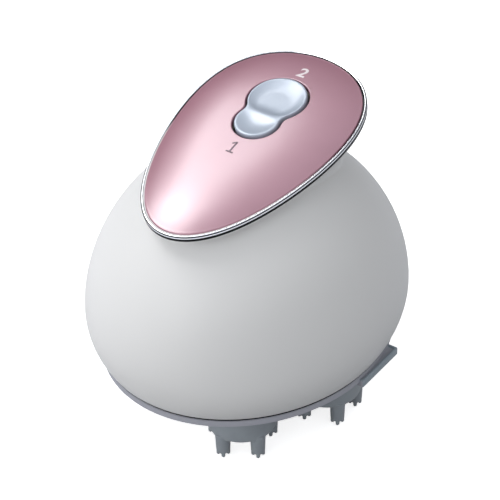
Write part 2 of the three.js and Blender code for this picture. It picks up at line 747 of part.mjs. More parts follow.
function motorPinion() {
  const phase = meshPhase(0, motorStage.wheel, motorStage.pinion, toRadians(motorAngle));
  const low = idlerWheelBottom - pinionOverhang / 2;
  const pinion = gear(motorStage.pinion, motorStage.module, low, idlerWheelTop + pinionOverhang / 2, phase);
  return geometryOf(pinion.add(solid(rod(motorShaftRadius, low + 1, motorBase + motorShaftDepth - 1, 8))));
}

function planetGear(degrees) {
  const phase = meshPhase(sunPhase, headStage.sun, headStage.planet, toRadians(degrees));
  const wheel = gear(headStage.planet, headStage.module, planetBottom, planetTop, phase);
  const bore = solid(rod(spindleRadius + seatGap, planetBottom - 1, planetTop + 1, 8));
  return geometryOf(wheel.subtract(bore));
}

const motorCan = () => {
  const top = motorBase + motorLength;
  const shaftBore = motorShaftRadius + runningGap;
  return turned([
    [0, motorBase + motorShaftDepth], [shaftBore, motorBase + motorShaftDepth],
    [shaftBore, motorBase - motorBossHeight],
    [motorBossRadius, motorBase - motorBossHeight], [motorBossRadius, motorBase],
    [motorRadius, motorBase], [motorRadius, top - 1], [motorRadius - 1, top],
    [motorBossRadius, top], [motorBossRadius, top + motorBossHeight], [0, top + motorBossHeight],
  ], 16);
};

const boardBottom = plateTop + mainBoard.standoff + seatGap;
const standoffPlaces = [[-16, 24], [16, 24], [-8, 35], [8, 35]];

function gearboxPlate() {
  const disc = solid(rod(plateRadius, plateBottom, plateTop, 24));
  const hole = (radius, place, steps = 8) =>
    solid(at(rod(radius, plateBottom - 1, plateTop + 1, steps), place));
  const standoffs = standoffPlaces.map(([x, y]) =>
    solid(rod(standoffRadius, plateTop - 0.5, boardBottom - seatGap, 6).translate(x, y, 0)));
  const holes = [
    ...headPlaces.map((place) => hole(spindleRadius + runningGap, place)),
    hole(axleRadius + seatGap, new THREE.Vector2(0, 0)),
    hole(idlerAxleRadius + seatGap, idlerPlace),
    hole(motorBossRadius + seatGap, motorPlace),
    ...postPlaces.map(([degrees, radius]) => hole(screwRadius + seatGap, polar(degrees, radius), 6)),
  ];
  return geometryOf(cut(joined([disc, ...standoffs]), holes));
}

const screw = (low, up) => {
  const shank = turned([[0, 0], [screwHead, 0], [screwHead, screwHeadHeight - 0.4],
    [screwRadius, screwHeadHeight], [screwRadius, screwLength], [0, screwLength + 0.6]], 6);
  return (up ? shank : shank.rotateX(Math.PI)).translate(0, 0, low);
};

const cellHeight = motorBase + cradleWall + seatGap + cellRadius;

const batteryCell = () => alongX(turned([
  [0, -cellLength / 2], [cellRadius, -cellLength / 2], [cellRadius, cellLength / 2 - 1.5],
  [0.35 * cellRadius, cellLength / 2 - 1.5], [0.35 * cellRadius, cellLength / 2],
  [0, cellLength / 2],
], 14)).translate(0, cellPlace, cellHeight);

function batteryHolder() {
  const reach = 0.36 * cellLength;
  const strip = solid(block(2 * reach, cradleStrip, cradleWall, motorBase));
  const saddles = [-1, 1].map((side) => solid(
    block(cradleWidth, 2 * cellRadius + 2 * cradleWall, cellRadius, motorBase)
      .translate(side * (reach - cradleWidth / 2), 0, 0)));
  const cell = solid(alongX(rod(cellRadius + seatGap, -cellLength, cellLength, 14))
    .translate(0, 0, cellHeight));
  const holder = joined([strip, ...saddles]).subtract(cell).translate([0, cellPlace, 0]);
  return geometryOf(holder);
}

function mainBoardBody() {
  const { length, width, thickness } = mainBoard;
  const sheet = solid(block(length, width, thickness, boardBottom));
  const parts = [[-14, 2, 9, 9, 4], [-1, 3, 7, 7, 1.4], [12, -4, 8, 6, 5], [12, 5, 5, 5, 2.5]];
  const chips = parts.map(([x, y, wide, deep, high]) =>
    solid(block(wide, deep, high + 0.5, boardBottom + thickness - 0.5).translate(x, y, 0)));
  return geometryOf(joined([sheet, ...chips]).translate([0, mainBoard.middle, 0]));
}

// One finger: a tapered silicone post with a crown of round nubs, its end on the standing plane.
function finger() {
  const rootTop = headBottom + headRounding;
  const post = solid(turned([[0, nubLength], [fingerEnd, nubLength], [fingerRoot, rootTop],
    [0, rootTop]], 8));
  const nub = () => solid(turned([[0, 0], [0.85 * nubRadius, 0], [nubRadius, nubLength + 0.3],
    [0, nubLength + 0.3]], 5));
  const crown = Array.from({ length: nubCount }, (_, i) => {
    const place = polar(nubTurn + (360 * i) / nubCount, nubCircle);
    return nub().translate([place.x, place.y, 0]);
  });
  return joined([post, ...crown]);
}

function brushHead(turn) {
  const rounding = [0, 0.5, 1].map((share) => [
    headRadius - headRounding * (1 - Math.sin((share * Math.PI) / 2)),
    headBottom + headRounding * (1 - Math.cos((share * Math.PI) / 2)),
  ]);
  const disc = solid(turned([
    [0, headBottom], ...rounding,
    [headRadius, headTop], [spindleRadius + seatGap, headTop],
    [spindleRadius + seatGap, headTop - socketDepth], [0, headTop - socketDepth],
  ], 18));
  const post = finger();
  const fingers = Array.from({ length: fingerCount }, (_, i) => {
    const place = polar(turn + (360 * i) / fingerCount, fingerCircle);
    return post.translate([place.x, place.y, 0]);
  });
  return geometryOf(joined([disc, ...fingers]));
}

const spindle = () => rod(spindleRadius, headTop - socketDepth + seatGap, plateTop - seatGap, 8);
const spindleBush = () => tube(bushInner, bushOuter, floorBottom + sealThickness + 2 * seatGap, bossTop, 8);
const spindleSeal = () => tube(bushInner, bushOuter, floorBottom + seatGap, floorBottom + seatGap
  + sealThickness, 8);

// Finishes
const finish = (color, roughness, metalness = 0) =>
  new THREE.MeshStandardMaterial({ color, roughness, metalness });
const finishes = {
  pearl: finish(0xe9e8e6, 0.25),
  pink: finish(0xc8a0ac, 0.35, 0.6),
  chrome: finish(0xd8dadd, 0.08, 1),
  button: finish(0xc8d4e0, 0.3, 0.2),
  ring: finish(0x8e909c, 0.55),
  silicone: finish(0x6c7884, 0.6),
  rubber: finish(0x2a2c30, 0.8),
  steel: finish(0xb4b8bc, 0.3, 1),
  brass: finish(0xc9a65a, 0.35, 1),
  nylon: finish(0xe6e2d6, 0.5),
  resin: finish(0x2f6b45, 0.5),
  cell: finish(0x3f78b8, 0.4),
};

const massager = new THREE.Group();
const head = new THREE.Group();
head.applyMatrix4(rimFrame);
const rocker = new THREE.Group();
rocker.applyMatrix4(rockerFrame);
head.add(rocker);
massager.add(head);

function add(name, geometry, material, group = massager, place = null) {
  const mesh = new THREE.Mesh(geometry, material);
  mesh.name = name;
  if (place) mesh.position.set(place.x, place.y, place.z ?? 0);
  group.add(mesh);
}

add('dome_housing', domeHousing(), finishes.pearl);
add('chrome_rim', chromeRim(), finishes.chrome, head);
add('top_panel', topPanel(), finishes.pink, head);
add('rocker_button', rockerButton(), finishes.button, rocker);
add('rocker_pin', rockerPin(), finishes.steel, rocker);
add('button_frame', buttonFrame(), finishes.nylon, rocker);
add('button_membrane', buttonMembrane(), finishes.rubber, rocker);
add('switch_board', switchBoard(), finishes.resin, rocker);
['tact_switch_back', 'tact_switch_front'].forEach((name, i) =>
  add(name, tactSwitch(), finishes.steel, rocker, { x: 0, y: footPlaces[i] }));
add('base_cover', baseCover(), finishes.ring);
add('base_seal', baseSeal(), finishes.rubber);
add('gearbox_plate', gearboxPlate(), finishes.steel);
add('motor', motorCan(), finishes.steel, massager, motorPlace);
add('motor_pinion', motorPinion(), finishes.brass, massager, motorPlace);
add('idler_axle', rod(idlerAxleRadius, floorTop + seatGap, plateTop - seatGap, 10),
  finishes.steel, massager, idlerPlace);
add('idler_gear', idlerGear(), finishes.nylon, massager, idlerPlace);
add('sun_axle', sunAxle(), finishes.steel);
add('sun_gear', sunGear(), finishes.nylon);
add('battery_cell', batteryCell(), finishes.cell);
add('battery_holder', batteryHolder(), finishes.nylon);
add('main_board', mainBoardBody(), finishes.resin);

postPlaces.forEach(([degrees, radius], i) => add(`gearbox_screw_${i + 1}`,
  screw(plateTop + seatGap + screwHeadHeight, false), finishes.steel, massager, polar(degrees, radius)));
screwPlaces.forEach(([degrees, radius], i) => add(`base_screw_${i + 1}`,
  screw(ringBottom + seatGap / 2, true), finishes.steel, massager, polar(degrees, radius)));
contactPlaces.forEach((place, i) => add(`charging_contact_${i + 1}`,
  rod(contactRadius, floorBottom, floorTop - seatGap, 10), finishes.brass, massager, place));

headPlaces.forEach((place, i) => {
  add(`brush_head_${i + 1}`, brushHead(fingerTurns[i]), finishes.silicone, massager, place);
  add(`spindle_${i + 1}`, spindle(), finishes.steel, massager, place);
  add(`planet_gear_${i + 1}`, planetGear(headAngles[i]), finishes.nylon, massager, place);
  add(`spindle_bush_${i + 1}`, spindleBush(), finishes.brass, massager, place);
  add(`spindle_seal_${i + 1}`, spindleSeal(), finishes.rubber, massager, place);
});

export default massager;
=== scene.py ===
"""Looks of an electric scalp massager: pearl dome, chrome-trimmed pink top, rocker button and brush heads.

Sizes are in millimetres in the dataclasses and turned into metres where a mesh is made.
"""

import json
import logging
import math
from dataclasses import dataclass, field
from enum import Enum
from typing import Callable, Sequence

import bmesh
import bpy
from mathutils import Matrix, Vector


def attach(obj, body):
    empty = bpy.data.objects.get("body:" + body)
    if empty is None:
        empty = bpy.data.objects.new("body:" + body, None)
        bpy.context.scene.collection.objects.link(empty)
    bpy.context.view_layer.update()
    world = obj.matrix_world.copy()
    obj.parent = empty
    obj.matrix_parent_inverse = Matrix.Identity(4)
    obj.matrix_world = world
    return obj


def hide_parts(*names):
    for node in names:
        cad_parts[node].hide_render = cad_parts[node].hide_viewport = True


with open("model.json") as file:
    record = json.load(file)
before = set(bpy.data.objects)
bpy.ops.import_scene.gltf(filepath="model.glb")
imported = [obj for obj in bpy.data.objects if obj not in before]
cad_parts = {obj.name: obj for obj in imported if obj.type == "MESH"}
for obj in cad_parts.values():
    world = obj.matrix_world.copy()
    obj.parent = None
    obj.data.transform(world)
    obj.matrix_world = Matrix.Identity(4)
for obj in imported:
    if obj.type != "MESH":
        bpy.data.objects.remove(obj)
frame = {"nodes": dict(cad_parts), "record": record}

MM = 0.001
SAME_PLACE = 2e-6
UP = Vector((0, 0, 1))
HEAD_CIRCLE = 30.0
HEAD_PLACES = (-60, 12, 84, 156, 228)
Color = tuple[float, float, float]
Profile = Sequence[tuple[float, float]]

log = logging.getLogger("massager")


class Ends(Enum):
    """How the first and last rows of a loft are finished."""

    OPEN = "open"
    POLES = "poles"
    TUBE = "tube"


class Grain(Enum):
    """Kind of fine surface relief."""

    SATIN = "satin"
    PEEL = "peel"
    BRUSHED = "brushed"


@dataclass(frozen=True)
class Finish:
    """A surface finish, built as a node material on object coordinates."""

    name: str
    tone: Color
    shade: Color
    roughness: float
    metallic: float = 0.0
    coat: float = 0.0
    coat_roughness: float = 0.05
    sheen: float = 0.0
    ior: float = 1.5
    spread: float = 0.06
    cloud: float = 40.0
    grain: Grain = Grain.SATIN
    grain_scale: float = 2600.0
    grain_depth: float = 0.02

    def material(self) -> bpy.types.Material:
        """The material of this finish, made on first use.

        Returns:
            The node material, shared by every piece with this finish.
        """
        made = bpy.data.materials.get(self.name)
        if made:
            return made
        made = bpy.data.materials.new(self.name)
        made.use_nodes = True
        tree = made.node_tree
        tree.nodes.clear()
        out = tree.nodes.new("ShaderNodeOutputMaterial")
        shader = tree.nodes.new("ShaderNodeBsdfPrincipled")
        tree.links.new(shader.outputs[0], out.inputs[0])
        sockets = {
            "Metallic": self.metallic, "Coat Weight": self.coat, "Coat Roughness": self.coat_roughness,
            "Sheen Weight": self.sheen, "IOR": self.ior,
        }
        for socket, value in sockets.items():
            shader.inputs[socket].default_value = value
        place = tree.nodes.new("ShaderNodeTexCoord")
        self._color(tree, place, shader)
        self._relief(tree, place, shader)
        return made

    def _color(self, tree: bpy.types.NodeTree, place: bpy.types.Node, shader: bpy.types.Node) -> None:
        """Mixes tone and shade in soft clouds, and lets the roughness drift with them.

        Args:
            tree: The material's nodes.
            place: The node that gives the object coordinates.
            shader: The node that takes the colour and the roughness.
        """
        clouds = tree.nodes.new("ShaderNodeTexNoise")
        clouds.inputs["Scale"].default_value = self.cloud
        clouds.inputs["Detail"].default_value = 3.0
        tree.links.new(place.outputs["Object"], clouds.inputs["Vector"])
        ramp = tree.nodes.new("ShaderNodeValToRGB")
        for stop, (position, color) in zip(ramp.color_ramp.elements, ((0.3, self.shade), (0.7, self.tone))):
            stop.position, stop.color = position, (*color, 1)
        tree.links.new(clouds.outputs[0], ramp.inputs[0])
        tree.links.new(ramp.outputs[0], shader.inputs["Base Color"])
        drift = tree.nodes.new("ShaderNodeMapRange")
        drift.inputs["To Min"].default_value = max(self.roughness - self.spread / 2, 0.02)
        drift.inputs["To Max"].default_value = self.roughness + self.spread / 2
        tree.links.new(clouds.outputs[0], drift.inputs["Value"])
        tree.links.new(drift.outputs[0], shader.inputs["Roughness"])

    def _relief(self, tree: bpy.types.NodeTree, place: bpy.types.Node, shader: bpy.types.Node) -> None:
        """Adds the fine relief of the grain to the normal.

        Args:
            tree: The material's nodes.
            place: The node that gives the object coordinates.
            shader: The node that takes the normal.
        """
        stretch = tree.nodes.new("ShaderNodeMapping")
        squeeze = 0.03 if self.grain is Grain.BRUSHED else 1.0
        stretch.inputs["Scale"].default_value = (1.0, squeeze, 1.0)
        tree.links.new(place.outputs["Object"], stretch.inputs["Vector"])
        relief = tree.nodes.new("ShaderNodeTexNoise")
        relief.inputs["Scale"].default_value = self.grain_scale
        relief.inputs["Detail"].default_value = 1.0 if self.grain is Grain.PEEL else 4.0
        tree.links.new(stretch.outputs[0], relief.inputs["Vector"])
        bump = tree.nodes.new("ShaderNodeBump")
        bump.inputs["Strength"].default_value = 0.35
        bump.inputs["Distance"].default_value = self.grain_depth * MM
        tree.links.new(relief.outputs[0], bump.inputs["Height"])
        tree.links.new(bump.outputs[0], shader.inputs["Normal"])


PEARL = Finish("pearl_white", (0.72, 0.72, 0.715), (0.7, 0.7, 0.7), 0.5, coat=0.15, coat_roughness=0.3,
               spread=0.03, cloud=14, grain=Grain.PEEL, grain_scale=420, grain_depth=0.012)
PINK = Finish("metallic_pink", (0.41, 0.175, 0.235), (0.385, 0.16, 0.215), 0.38, metallic=0.1, coat=1.0,
              coat_roughness=0.22, ior=2.2, spread=0.03, cloud=60, grain_scale=5200, grain_depth=0.006)
CHROME = Finish("polished_chrome", (0.86, 0.87, 0.89), (0.8, 0.81, 0.84), 0.07, metallic=1.0, spread=0.04,
                cloud=90, grain_depth=0.002)
# Near-black finish: painted dark reflection on the rim's outer wall and painted shade in its inner seam.
PAINTED_DARK = Finish("painted_dark_reflection_and_shade", (0.012, 0.013, 0.016), (0.008, 0.009, 0.011), 0.35, ior=1.12,
                spread=0.04, cloud=90, grain_depth=0.002)
SILVER = Finish("silver_blue_pearl", (0.42, 0.475, 0.56), (0.385, 0.44, 0.525), 0.36, metallic=0.2, coat=0.5,
                coat_roughness=0.14, ior=1.7, spread=0.04, cloud=80, grain_scale=5200, grain_depth=0.006)
GREY = Finish("satin_grey", (0.36, 0.365, 0.41), (0.33, 0.335, 0.38), 0.48, spread=0.08, cloud=60,
              grain_scale=3800, grain_depth=0.02)
SLATE = Finish("slate_grey", (0.28, 0.33, 0.37), (0.25, 0.3, 0.34), 0.42, spread=0.08, cloud=60,
               grain_scale=3800, grain_depth=0.02)
SILICONE = Finish("grey_silicone", (0.3, 0.335, 0.365), (0.27, 0.3, 0.33), 0.5, sheen=0.25, spread=0.1,
                  cloud=120, grain_scale=3000, grain_depth=0.03)
# Near-black painted shade for the base ring's ledge and lip in the gap under the dome.
SHADOW = Finish("painted_seam_shade", (0.012, 0.012, 0.014), (0.008, 0.008, 0.009), 0.6, cloud=90)
RUBBER = Finish("black_rubber", (0.025, 0.026, 0.028), (0.018, 0.018, 0.02), 0.7, cloud=90)
STEEL = Finish("machined_steel", (0.56, 0.57, 0.59), (0.47, 0.48, 0.5), 0.3, metallic=1.0, spread=0.12,
               cloud=160, grain=Grain.BRUSHED, grain_scale=6000, grain_depth=0.01)
BRASS = Finish("turned_brass", (0.68, 0.5, 0.23), (0.56, 0.39, 0.16), 0.28, metallic=1.0, spread=0.12,
               cloud=160, grain=Grain.BRUSHED, grain_scale=6000, grain_depth=0.01)
NYLON = Finish("natural_nylon", (0.74, 0.71, 0.62), (0.66, 0.63, 0.54), 0.45, spread=0.1, cloud=120)
RESIN = Finish("solder_resist", (0.03, 0.17, 0.08), (0.02, 0.12, 0.055), 0.35, coat=0.4, cloud=180)
SLEEVE = Finish("shrink_sleeve", (0.05, 0.17, 0.42), (0.04, 0.13, 0.34), 0.3, coat=0.5, cloud=70)
PRINT_PALE = Finish("pale_print", (0.8, 0.72, 0.74), (0.74, 0.66, 0.68), 0.5, cloud=300)
PRINT_DARK = Finish("mauve_print", (0.2, 0.14, 0.17), (0.17, 0.12, 0.145), 0.5, cloud=300)


def clear_selection() -> None:
    """Leaves object mode with nothing selected."""
    if bpy.context.object and bpy.context.object.mode != "OBJECT":
        bpy.ops.object.mode_set(mode="OBJECT")
    bpy.ops.object.select_all(action="DESELECT")


def make_active(obj: bpy.types.Object) -> None:
    """Selects one object alone and makes it the active one.

    Args:
        obj: The object.
    """
    clear_selection()
    obj.select_set(True)
    bpy.context.view_layer.objects.active = obj


def loft(name: str, rows: Sequence[Sequence[Vector]], ends: Ends = Ends.OPEN) -> bpy.types.Object:
    """A circle extruded row by row, each row set to its own outline.

    Args:
        name: Name of the new piece.
        rows: Points of each row in millimetres, all rows of one length.
        ends: OPEN leaves both ends, POLES draws them together, TUBE joins the last row to the first.

    Returns:
        The new mesh object, at the origin, its faces pointing outwards.
    """
    clear_selection()
    bpy.ops.mesh.primitive_circle_add(vertices=len(rows[0]), radius=MM)
    obj = bpy.context.object
    obj.name = name
    bpy.ops.object.mode_set(mode="EDIT")
    mesh = bmesh.from_edit_mesh(obj.data)
    column = mesh.verts.layers.int.new("column")
    for index, vert in enumerate(mesh.verts):
        vert[column] = index
        vert.co = rows[0][index] * MM
    for row in [*rows[1:], *([rows[0]] if ends is Ends.TUBE else [])]:
        bpy.ops.mesh.extrude_edges_move()
        mesh = bmesh.from_edit_mesh(obj.data)
        column = mesh.verts.layers.int["column"]
        for vert in mesh.verts:
            if vert.select:
                vert.co = row[vert[column]] * MM
    if ends is Ends.POLES:
        bpy.ops.mesh.merge(type="CENTER")
        close_first_row(obj)
    bpy.ops.mesh.select_all(action="SELECT")
    bpy.ops.mesh.remove_doubles(threshold=SAME_PLACE)
    bpy.ops.mesh.normals_make_consistent(inside=False)
    if ends is Ends.OPEN and not faces_outwards(bmesh.from_edit_mesh(obj.data)):
        bpy.ops.mesh.flip_normals()
    bpy.ops.object.mode_set(mode="OBJECT")
    obj.data.attributes.remove(obj.data.attributes["column"])
    return obj


def faces_outwards(mesh: bmesh.types.BMesh) -> bool:
    """Whether most of a mesh's faces look away from its middle."""
    middle = sum((vert.co for vert in mesh.verts), Vector()) / len(mesh.verts)
    return sum(face.normal.dot(face.calc_center_median() - middle) for face in mesh.faces) > 0


def close_first_row(obj: bpy.types.Object) -> None:
    """Draws the open first row of a loft together in its middle.

    Args:
        obj: The loft, in edit mode.
    """
    bpy.ops.mesh.select_all(action="DESELECT")
    mesh = bmesh.from_edit_mesh(obj.data)
    for vert in mesh.verts:
        vert.select = vert.is_boundary
    mesh.select_flush(True)
    bmesh.update_edit_mesh(obj.data)
    bpy.ops.mesh.merge(type="CENTER")


def turned(name: str, profile: Profile, steps: int, place: Vector | None = None) -> bpy.types.Object:
    """A closed form turned about an upright axis.

    Args:
        name: Name of the new piece.
        profile: Radius and height pairs in millimetres, from one pole to the other.
        steps: Points round the axis.
        place: Where the axis stands, in millimetres.

    Returns:
        The new mesh object.
    """
    centre = place or Vector((0, 0, 0))
    rows = [
        [centre + polar(turn, radius) + UP * height for turn in angles(steps)]
        for radius, height in profile
    ]
    return loft(name, rows, Ends.POLES)


def angles(count: int) -> list[float]:
    """Evenly spaced angles of a full turn, in radians."""
    return [2 * math.pi * index / count for index in range(count)]


def quarter(steps: int) -> list[float]:
    """Evenly spaced angles from 0 to a quarter turn, in radians."""
    return [math.pi / 2 * index / steps for index in range(steps + 1)]


def polar(turn: float, radius: float = 1.0) -> Vector:
    """A place in plan at a direction in radians and a radius."""
    return Vector((math.cos(turn), math.sin(turn), 0)) * radius


def join(pieces: Sequence[bpy.types.Object]) -> bpy.types.Object:
    """Joins objects into the first of them.

    Args:
        pieces: The objects.

    Returns:
        The first object, which holds them all.
    """
    clear_selection()
    for piece in pieces:
        piece.select_set(True)
    bpy.context.view_layer.objects.active = pieces[0]
    bpy.ops.object.join()
    return pieces[0]


def boolean(body: bpy.types.Object, tools: Sequence[bpy.types.Object], operation: str) -> None:
    """Cuts or joins closed tool objects into a closed body, one by one, and removes the tools.

    Args:
        body: The object that is changed.
        tools: The objects that cut or are joined.
        operation: DIFFERENCE or UNION.
    """
    for tool in tools:
        modifier = body.modifiers.new("shape", "BOOLEAN")
        modifier.operation = operation
        modifier.solver = "MANIFOLD"
        modifier.object = tool
        make_active(body)
        bpy.ops.object.modifier_apply(modifier=modifier.name)
        bpy.data.objects.remove(tool, do_unlink=True)


def smooth(obj: bpy.types.Object, degrees: float) -> None:
    """Shades smooth, with edges sharper than an angle kept crisp."""
    make_active(obj)
    bpy.ops.object.shade_smooth_by_angle(angle=math.radians(degrees))


def hand_over(obj: bpy.types.Object, finishes: Sequence[Finish], body: str, slot: str, *nodes: str) -> None:
    """Dresses a finished piece and gives it to its CAD body.

    Args:
        obj: The finished piece, at the origin.
        finishes: Its finishes, in the order of its material slots.
        body: The CAD body that it rides on.
        slot: The record's material slot; not used.
        nodes: CAD nodes that it stands for.
    """
    obj.data.materials.clear()
    for finish in finishes:
        obj.data.materials.append(finish.material())
    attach(obj, body)
    if nodes:
        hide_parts(*nodes)
    log.info("%s: %d faces on %s", obj.name, len(obj.data.polygons), body)


@dataclass(frozen=True)
class Form:
    """The outer form of the massager, in millimetres, the same as the solids'."""

    ring_bottom: float = 26.6
    ring_height: float = 3.4
    body_half_width: float = 54.5
    body_oval: float = 1.14
    belly_rise: float = 19.0
    belly_level: float = 0.33
    lower_curve: float = 38.8
    upper_curve: float = 57.15
    upper_power: float = 1.86
    neck_front: float = 6.0
    neck_side: float = 5.0
    neck_back: float = 10.0
    neck_turn: float = 0.15
    neck_flare: float = 0.4
    rim_length: float = 95.4
    rim_width: float = 61.7
    rim_egg: float = 0.23
    rim_blunt: float = 0.12
    rim_tilt: float = math.radians(13)
    rim_rise: float = 77.6
    rim_middle: float = 1.07
    rim_depth: float = 1.2
    rim_band: float = 1.1
    gap: float = 0.3
    lobe_back: tuple[float, float] = (19.5, 10.3)
    lobe_front: tuple[float, float] = (7.1, 7.8)
    waist_fillet: float = 5.0
    panel_edge: float = 0.7
    ledge: float = 0.6
    panel_rise: float = 1.05
    panel_roll: float = 0.35
    panel_roll_share: float = 0.985
    panel_top: float = 4.2
    panel_crown_power: float = 4.0
    solid_roll: float = 2.4
    solid_roll_share: float = 0.945
    solid_crown: float = 1.4
    solid_crown_power: float = 3.0

    def half_width(self, rise: float) -> float:
        """Half width of the dome.

        Args:
            rise: Height above the base ring's underside.

        Returns:
            Half of the dome's width there.
        """
        step = rise - self.belly_rise
        if step < 0:
            return self.body_half_width * math.sqrt(1 - (step / self.lower_curve) ** 2)
        return self.body_half_width * math.sqrt(1 - (step / self.upper_curve) ** self.upper_power)

    def dome_point(self, angle: float, rise: float) -> Vector:
        """A point of the dome's outside.

        Args:
            angle: Plan angle, in radians.
            rise: Height above the base ring's underside.

        Returns:
            The point.
        """
        width = self.half_width(rise)
        along = self.body_oval * width * math.sin(angle)
        return Vector((width * math.cos(angle), along, self.ring_bottom + rise))

    def rim_outline(self, angle: float, inset: float) -> Vector:
        """A point of the teardrop outline in its own plane.

        Args:
            angle: Direction of the point, in radians.
            inset: How far it is moved inwards.

        Returns:
            Its place across and along the top.
        """

        def place(turn: float) -> Vector:
            """A point of the outline itself.

            Args:
                turn: Direction of the point, in radians.

            Returns:
                Its place across and along the top.
            """
            along = math.sin(turn)
            swell = 1 + self.rim_egg * along + self.rim_blunt * along**2
            return Vector((self.rim_width / 2 * math.cos(turn) * swell, self.rim_length / 2 * along))

        step = 1e-3
        tangent = (place(angle + step) - place(angle - step)).normalized()
        return place(angle) + Vector((-tangent.y, tangent.x)) * inset

    @property
    def rim_frame(self) -> Matrix:
        """Place of the rim's plane."""
        shift = Matrix.Translation((0, self.rim_middle, self.ring_bottom + self.rim_rise))
        return shift @ Matrix.Rotation(self.rim_tilt, 4, "X")

    def rim_point(self, angle: float, inset: float, height: float) -> Vector:
        """A point of the rim, inset from its outline, at a height over its plane."""
        flat = self.rim_outline(angle, inset)
        return self.rim_frame @ Vector((flat.x, flat.y, height))

    def neck_inset(self, angle: float) -> float:
        """How far the neck stands inside the rim's outline.

        Args:
            angle: Plan angle, in radians.

        Returns:
            The inset in millimetres, least at the sides and most at the back.
        """
        back = math.sin(angle)
        slant = (self.neck_back - self.neck_front) / 2
        ends = (self.neck_back + self.neck_front) / 2 - self.neck_side
        return self.neck_side + slant * back + ends * back**2

    def neck_foot(self, angle: float) -> tuple[float, float]:
        """Where the neck leaves the dome.

        Args:
            angle: Angle on the rim's outline, in radians.

        Returns:
            Plan angle on the dome, and height over the ring's underside.
        """
        place = self.rim_point(angle, self.neck_inset(angle), 0)
        across, along = place.x, place.y / self.body_oval
        share = math.hypot(across, along) / self.body_half_width
        rise = self.belly_rise + self.upper_curve * (1 - share**2) ** (1 / self.upper_power)
        lead = math.atan2(along, across) - angle
        return angle + math.atan2(math.sin(lead), math.cos(lead)), rise

    def neck(self, angle: float) -> tuple[Vector, Vector, Vector, Vector]:
        """Control points of the neck's curve.

        Args:
            angle: Angle on the rim's outline, in radians.

        Returns:
            The start on the dome, two points that bend the curve, and the end under the rim.
        """
        turn, rise = self.neck_foot(angle)
        start = self.dome_point(turn, rise)
        along = (self.dome_point(turn, rise + 0.1) - start).normalized()
        under = -self.rim_depth - self.gap
        end = self.rim_point(angle, 0, under)
        height = end.z - start.z
        bend = self.rim_point(angle, self.neck_inset(angle), under - self.neck_flare * height)
        return start, start + along * (self.neck_turn * height), bend, end

    def surface(self, angle: float, level: float) -> Vector:
        """A point of the shell's outside.

        Args:
            angle: Plan angle, in radians.
            level: 0 at the seam, 1 where the neck starts, 2 under the rim.

        Returns:
            The point.
        """
        if level >= 1:
            a, b, c, d = self.neck(angle)
            t = level - 1
            return a * (1 - t) ** 3 + b * 3 * t * (1 - t) ** 2 + c * 3 * t**2 * (1 - t) + d * t**3
        if level <= self.belly_level:
            rise = self.ring_height + (self.belly_rise - self.ring_height) * level / self.belly_level
            return self.dome_point(angle, rise)
        foot_turn, foot_rise = self.neck_foot(angle)
        share = (level - self.belly_level) / (1 - self.belly_level)
        turn = angle + (foot_turn - angle) * share**2
        return self.dome_point(turn, self.belly_rise + (foot_rise - self.belly_rise) * share)

    @property
    def panel_foot(self) -> float:
        """Height of the panel's underside at its edge, over the rim plane."""
        return -self.rim_depth + self.ledge + self.gap

    def panel_height(self, share: float) -> float:
        """Height of the panel over the rim plane.

        Args:
            share: How far the place lies from the middle to the edge, from 0 to 1.

        Returns:
            The height.
        """
        roll = self.panel_rise - self.panel_roll
        if share >= self.panel_roll_share:
            run = (1 - min(share, 1)) / (1 - self.panel_roll_share)
            return roll + self.panel_roll * math.sqrt(1 - (1 - run) ** 2)
        fall = (share / self.panel_roll_share) ** self.panel_crown_power
        return self.panel_rise + (self.panel_top - self.panel_rise) * (1 - fall)

    def solid_height(self, share: float) -> float:
        """Height of the solid panel inside its roll, which the rocker's place comes from."""
        fall = (share / self.solid_roll_share) ** self.solid_crown_power
        return self.panel_foot + self.panel_edge + self.solid_roll + self.solid_crown * (1 - fall)

    @property
    def lobe_spacing(self) -> float:
        """Distance between the centres of the two lobes."""
        return self.lobe_back[0] - self.lobe_front[0]

    @property
    def waist_along(self) -> float:
        """Where the rocker's waist lies.

        Returns:
            Its place along the top.
        """
        back = self.lobe_back[1] + self.waist_fillet
        front = self.lobe_front[1] + self.waist_fillet
        return self.lobe_front[0] + (self.lobe_spacing**2 - back**2 + front**2) / (2 * self.lobe_spacing)

    @property
    def rocker_frame(self) -> Matrix:
        """Place of the rocker, whose origin is its waist.

        Returns:
            The place that sets it level with the panel at its two ends.
        """
        half_length = self.rim_length / 2 - self.rim_band - self.gap
        back_end = self.lobe_back[0] + self.lobe_back[1]
        front_end = self.lobe_front[0] - self.lobe_front[1]
        back = self.solid_height(abs(back_end) / half_length)
        front = self.solid_height(abs(front_end) / half_length)
        slope = (back - front) / (back_end - front_end)
        level = front + slope * (self.waist_along - front_end)
        local = Matrix.Translation((0, self.waist_along, level)) @ Matrix.Rotation(math.atan(slope), 4, "X")
        return self.rim_frame @ local

    def lobes(self, offset: float) -> Callable[[float], float]:
        """Outline of the two lobes, grown by an offset, as a radius for each direction from the waist.

        Args:
            offset: How far the outline is moved outwards, in millimetres.

        Returns:
            A function from a direction in radians to a radius in millimetres.
        """
        back, front = self.lobe_back[1] + offset, self.lobe_front[1] + offset
        fillet = self.waist_fillet - offset
        fillet_along = self.waist_along - self.lobe_front[0]
        fillet_across = math.sqrt((front + fillet) ** 2 - fillet_along**2)
        front_at = -fillet_along
        back_at = self.lobe_spacing - fillet_along
        front_turn = math.atan2(fillet_along, fillet_across)
        back_turn = math.atan2(back_at, fillet_across)
        touch_front = math.atan2(-fillet * math.sin(front_turn), fillet_across - fillet * math.cos(front_turn))
        touch_back = math.atan2(fillet * math.sin(back_turn), fillet_across - fillet * math.cos(back_turn))

        def leaving(at: float, radius: float, turn: float) -> float:
            """Distance to the far side of a lobe."""
            along = at * math.sin(turn)
            return along + math.sqrt(max(along**2 - at**2 + radius**2, 0))

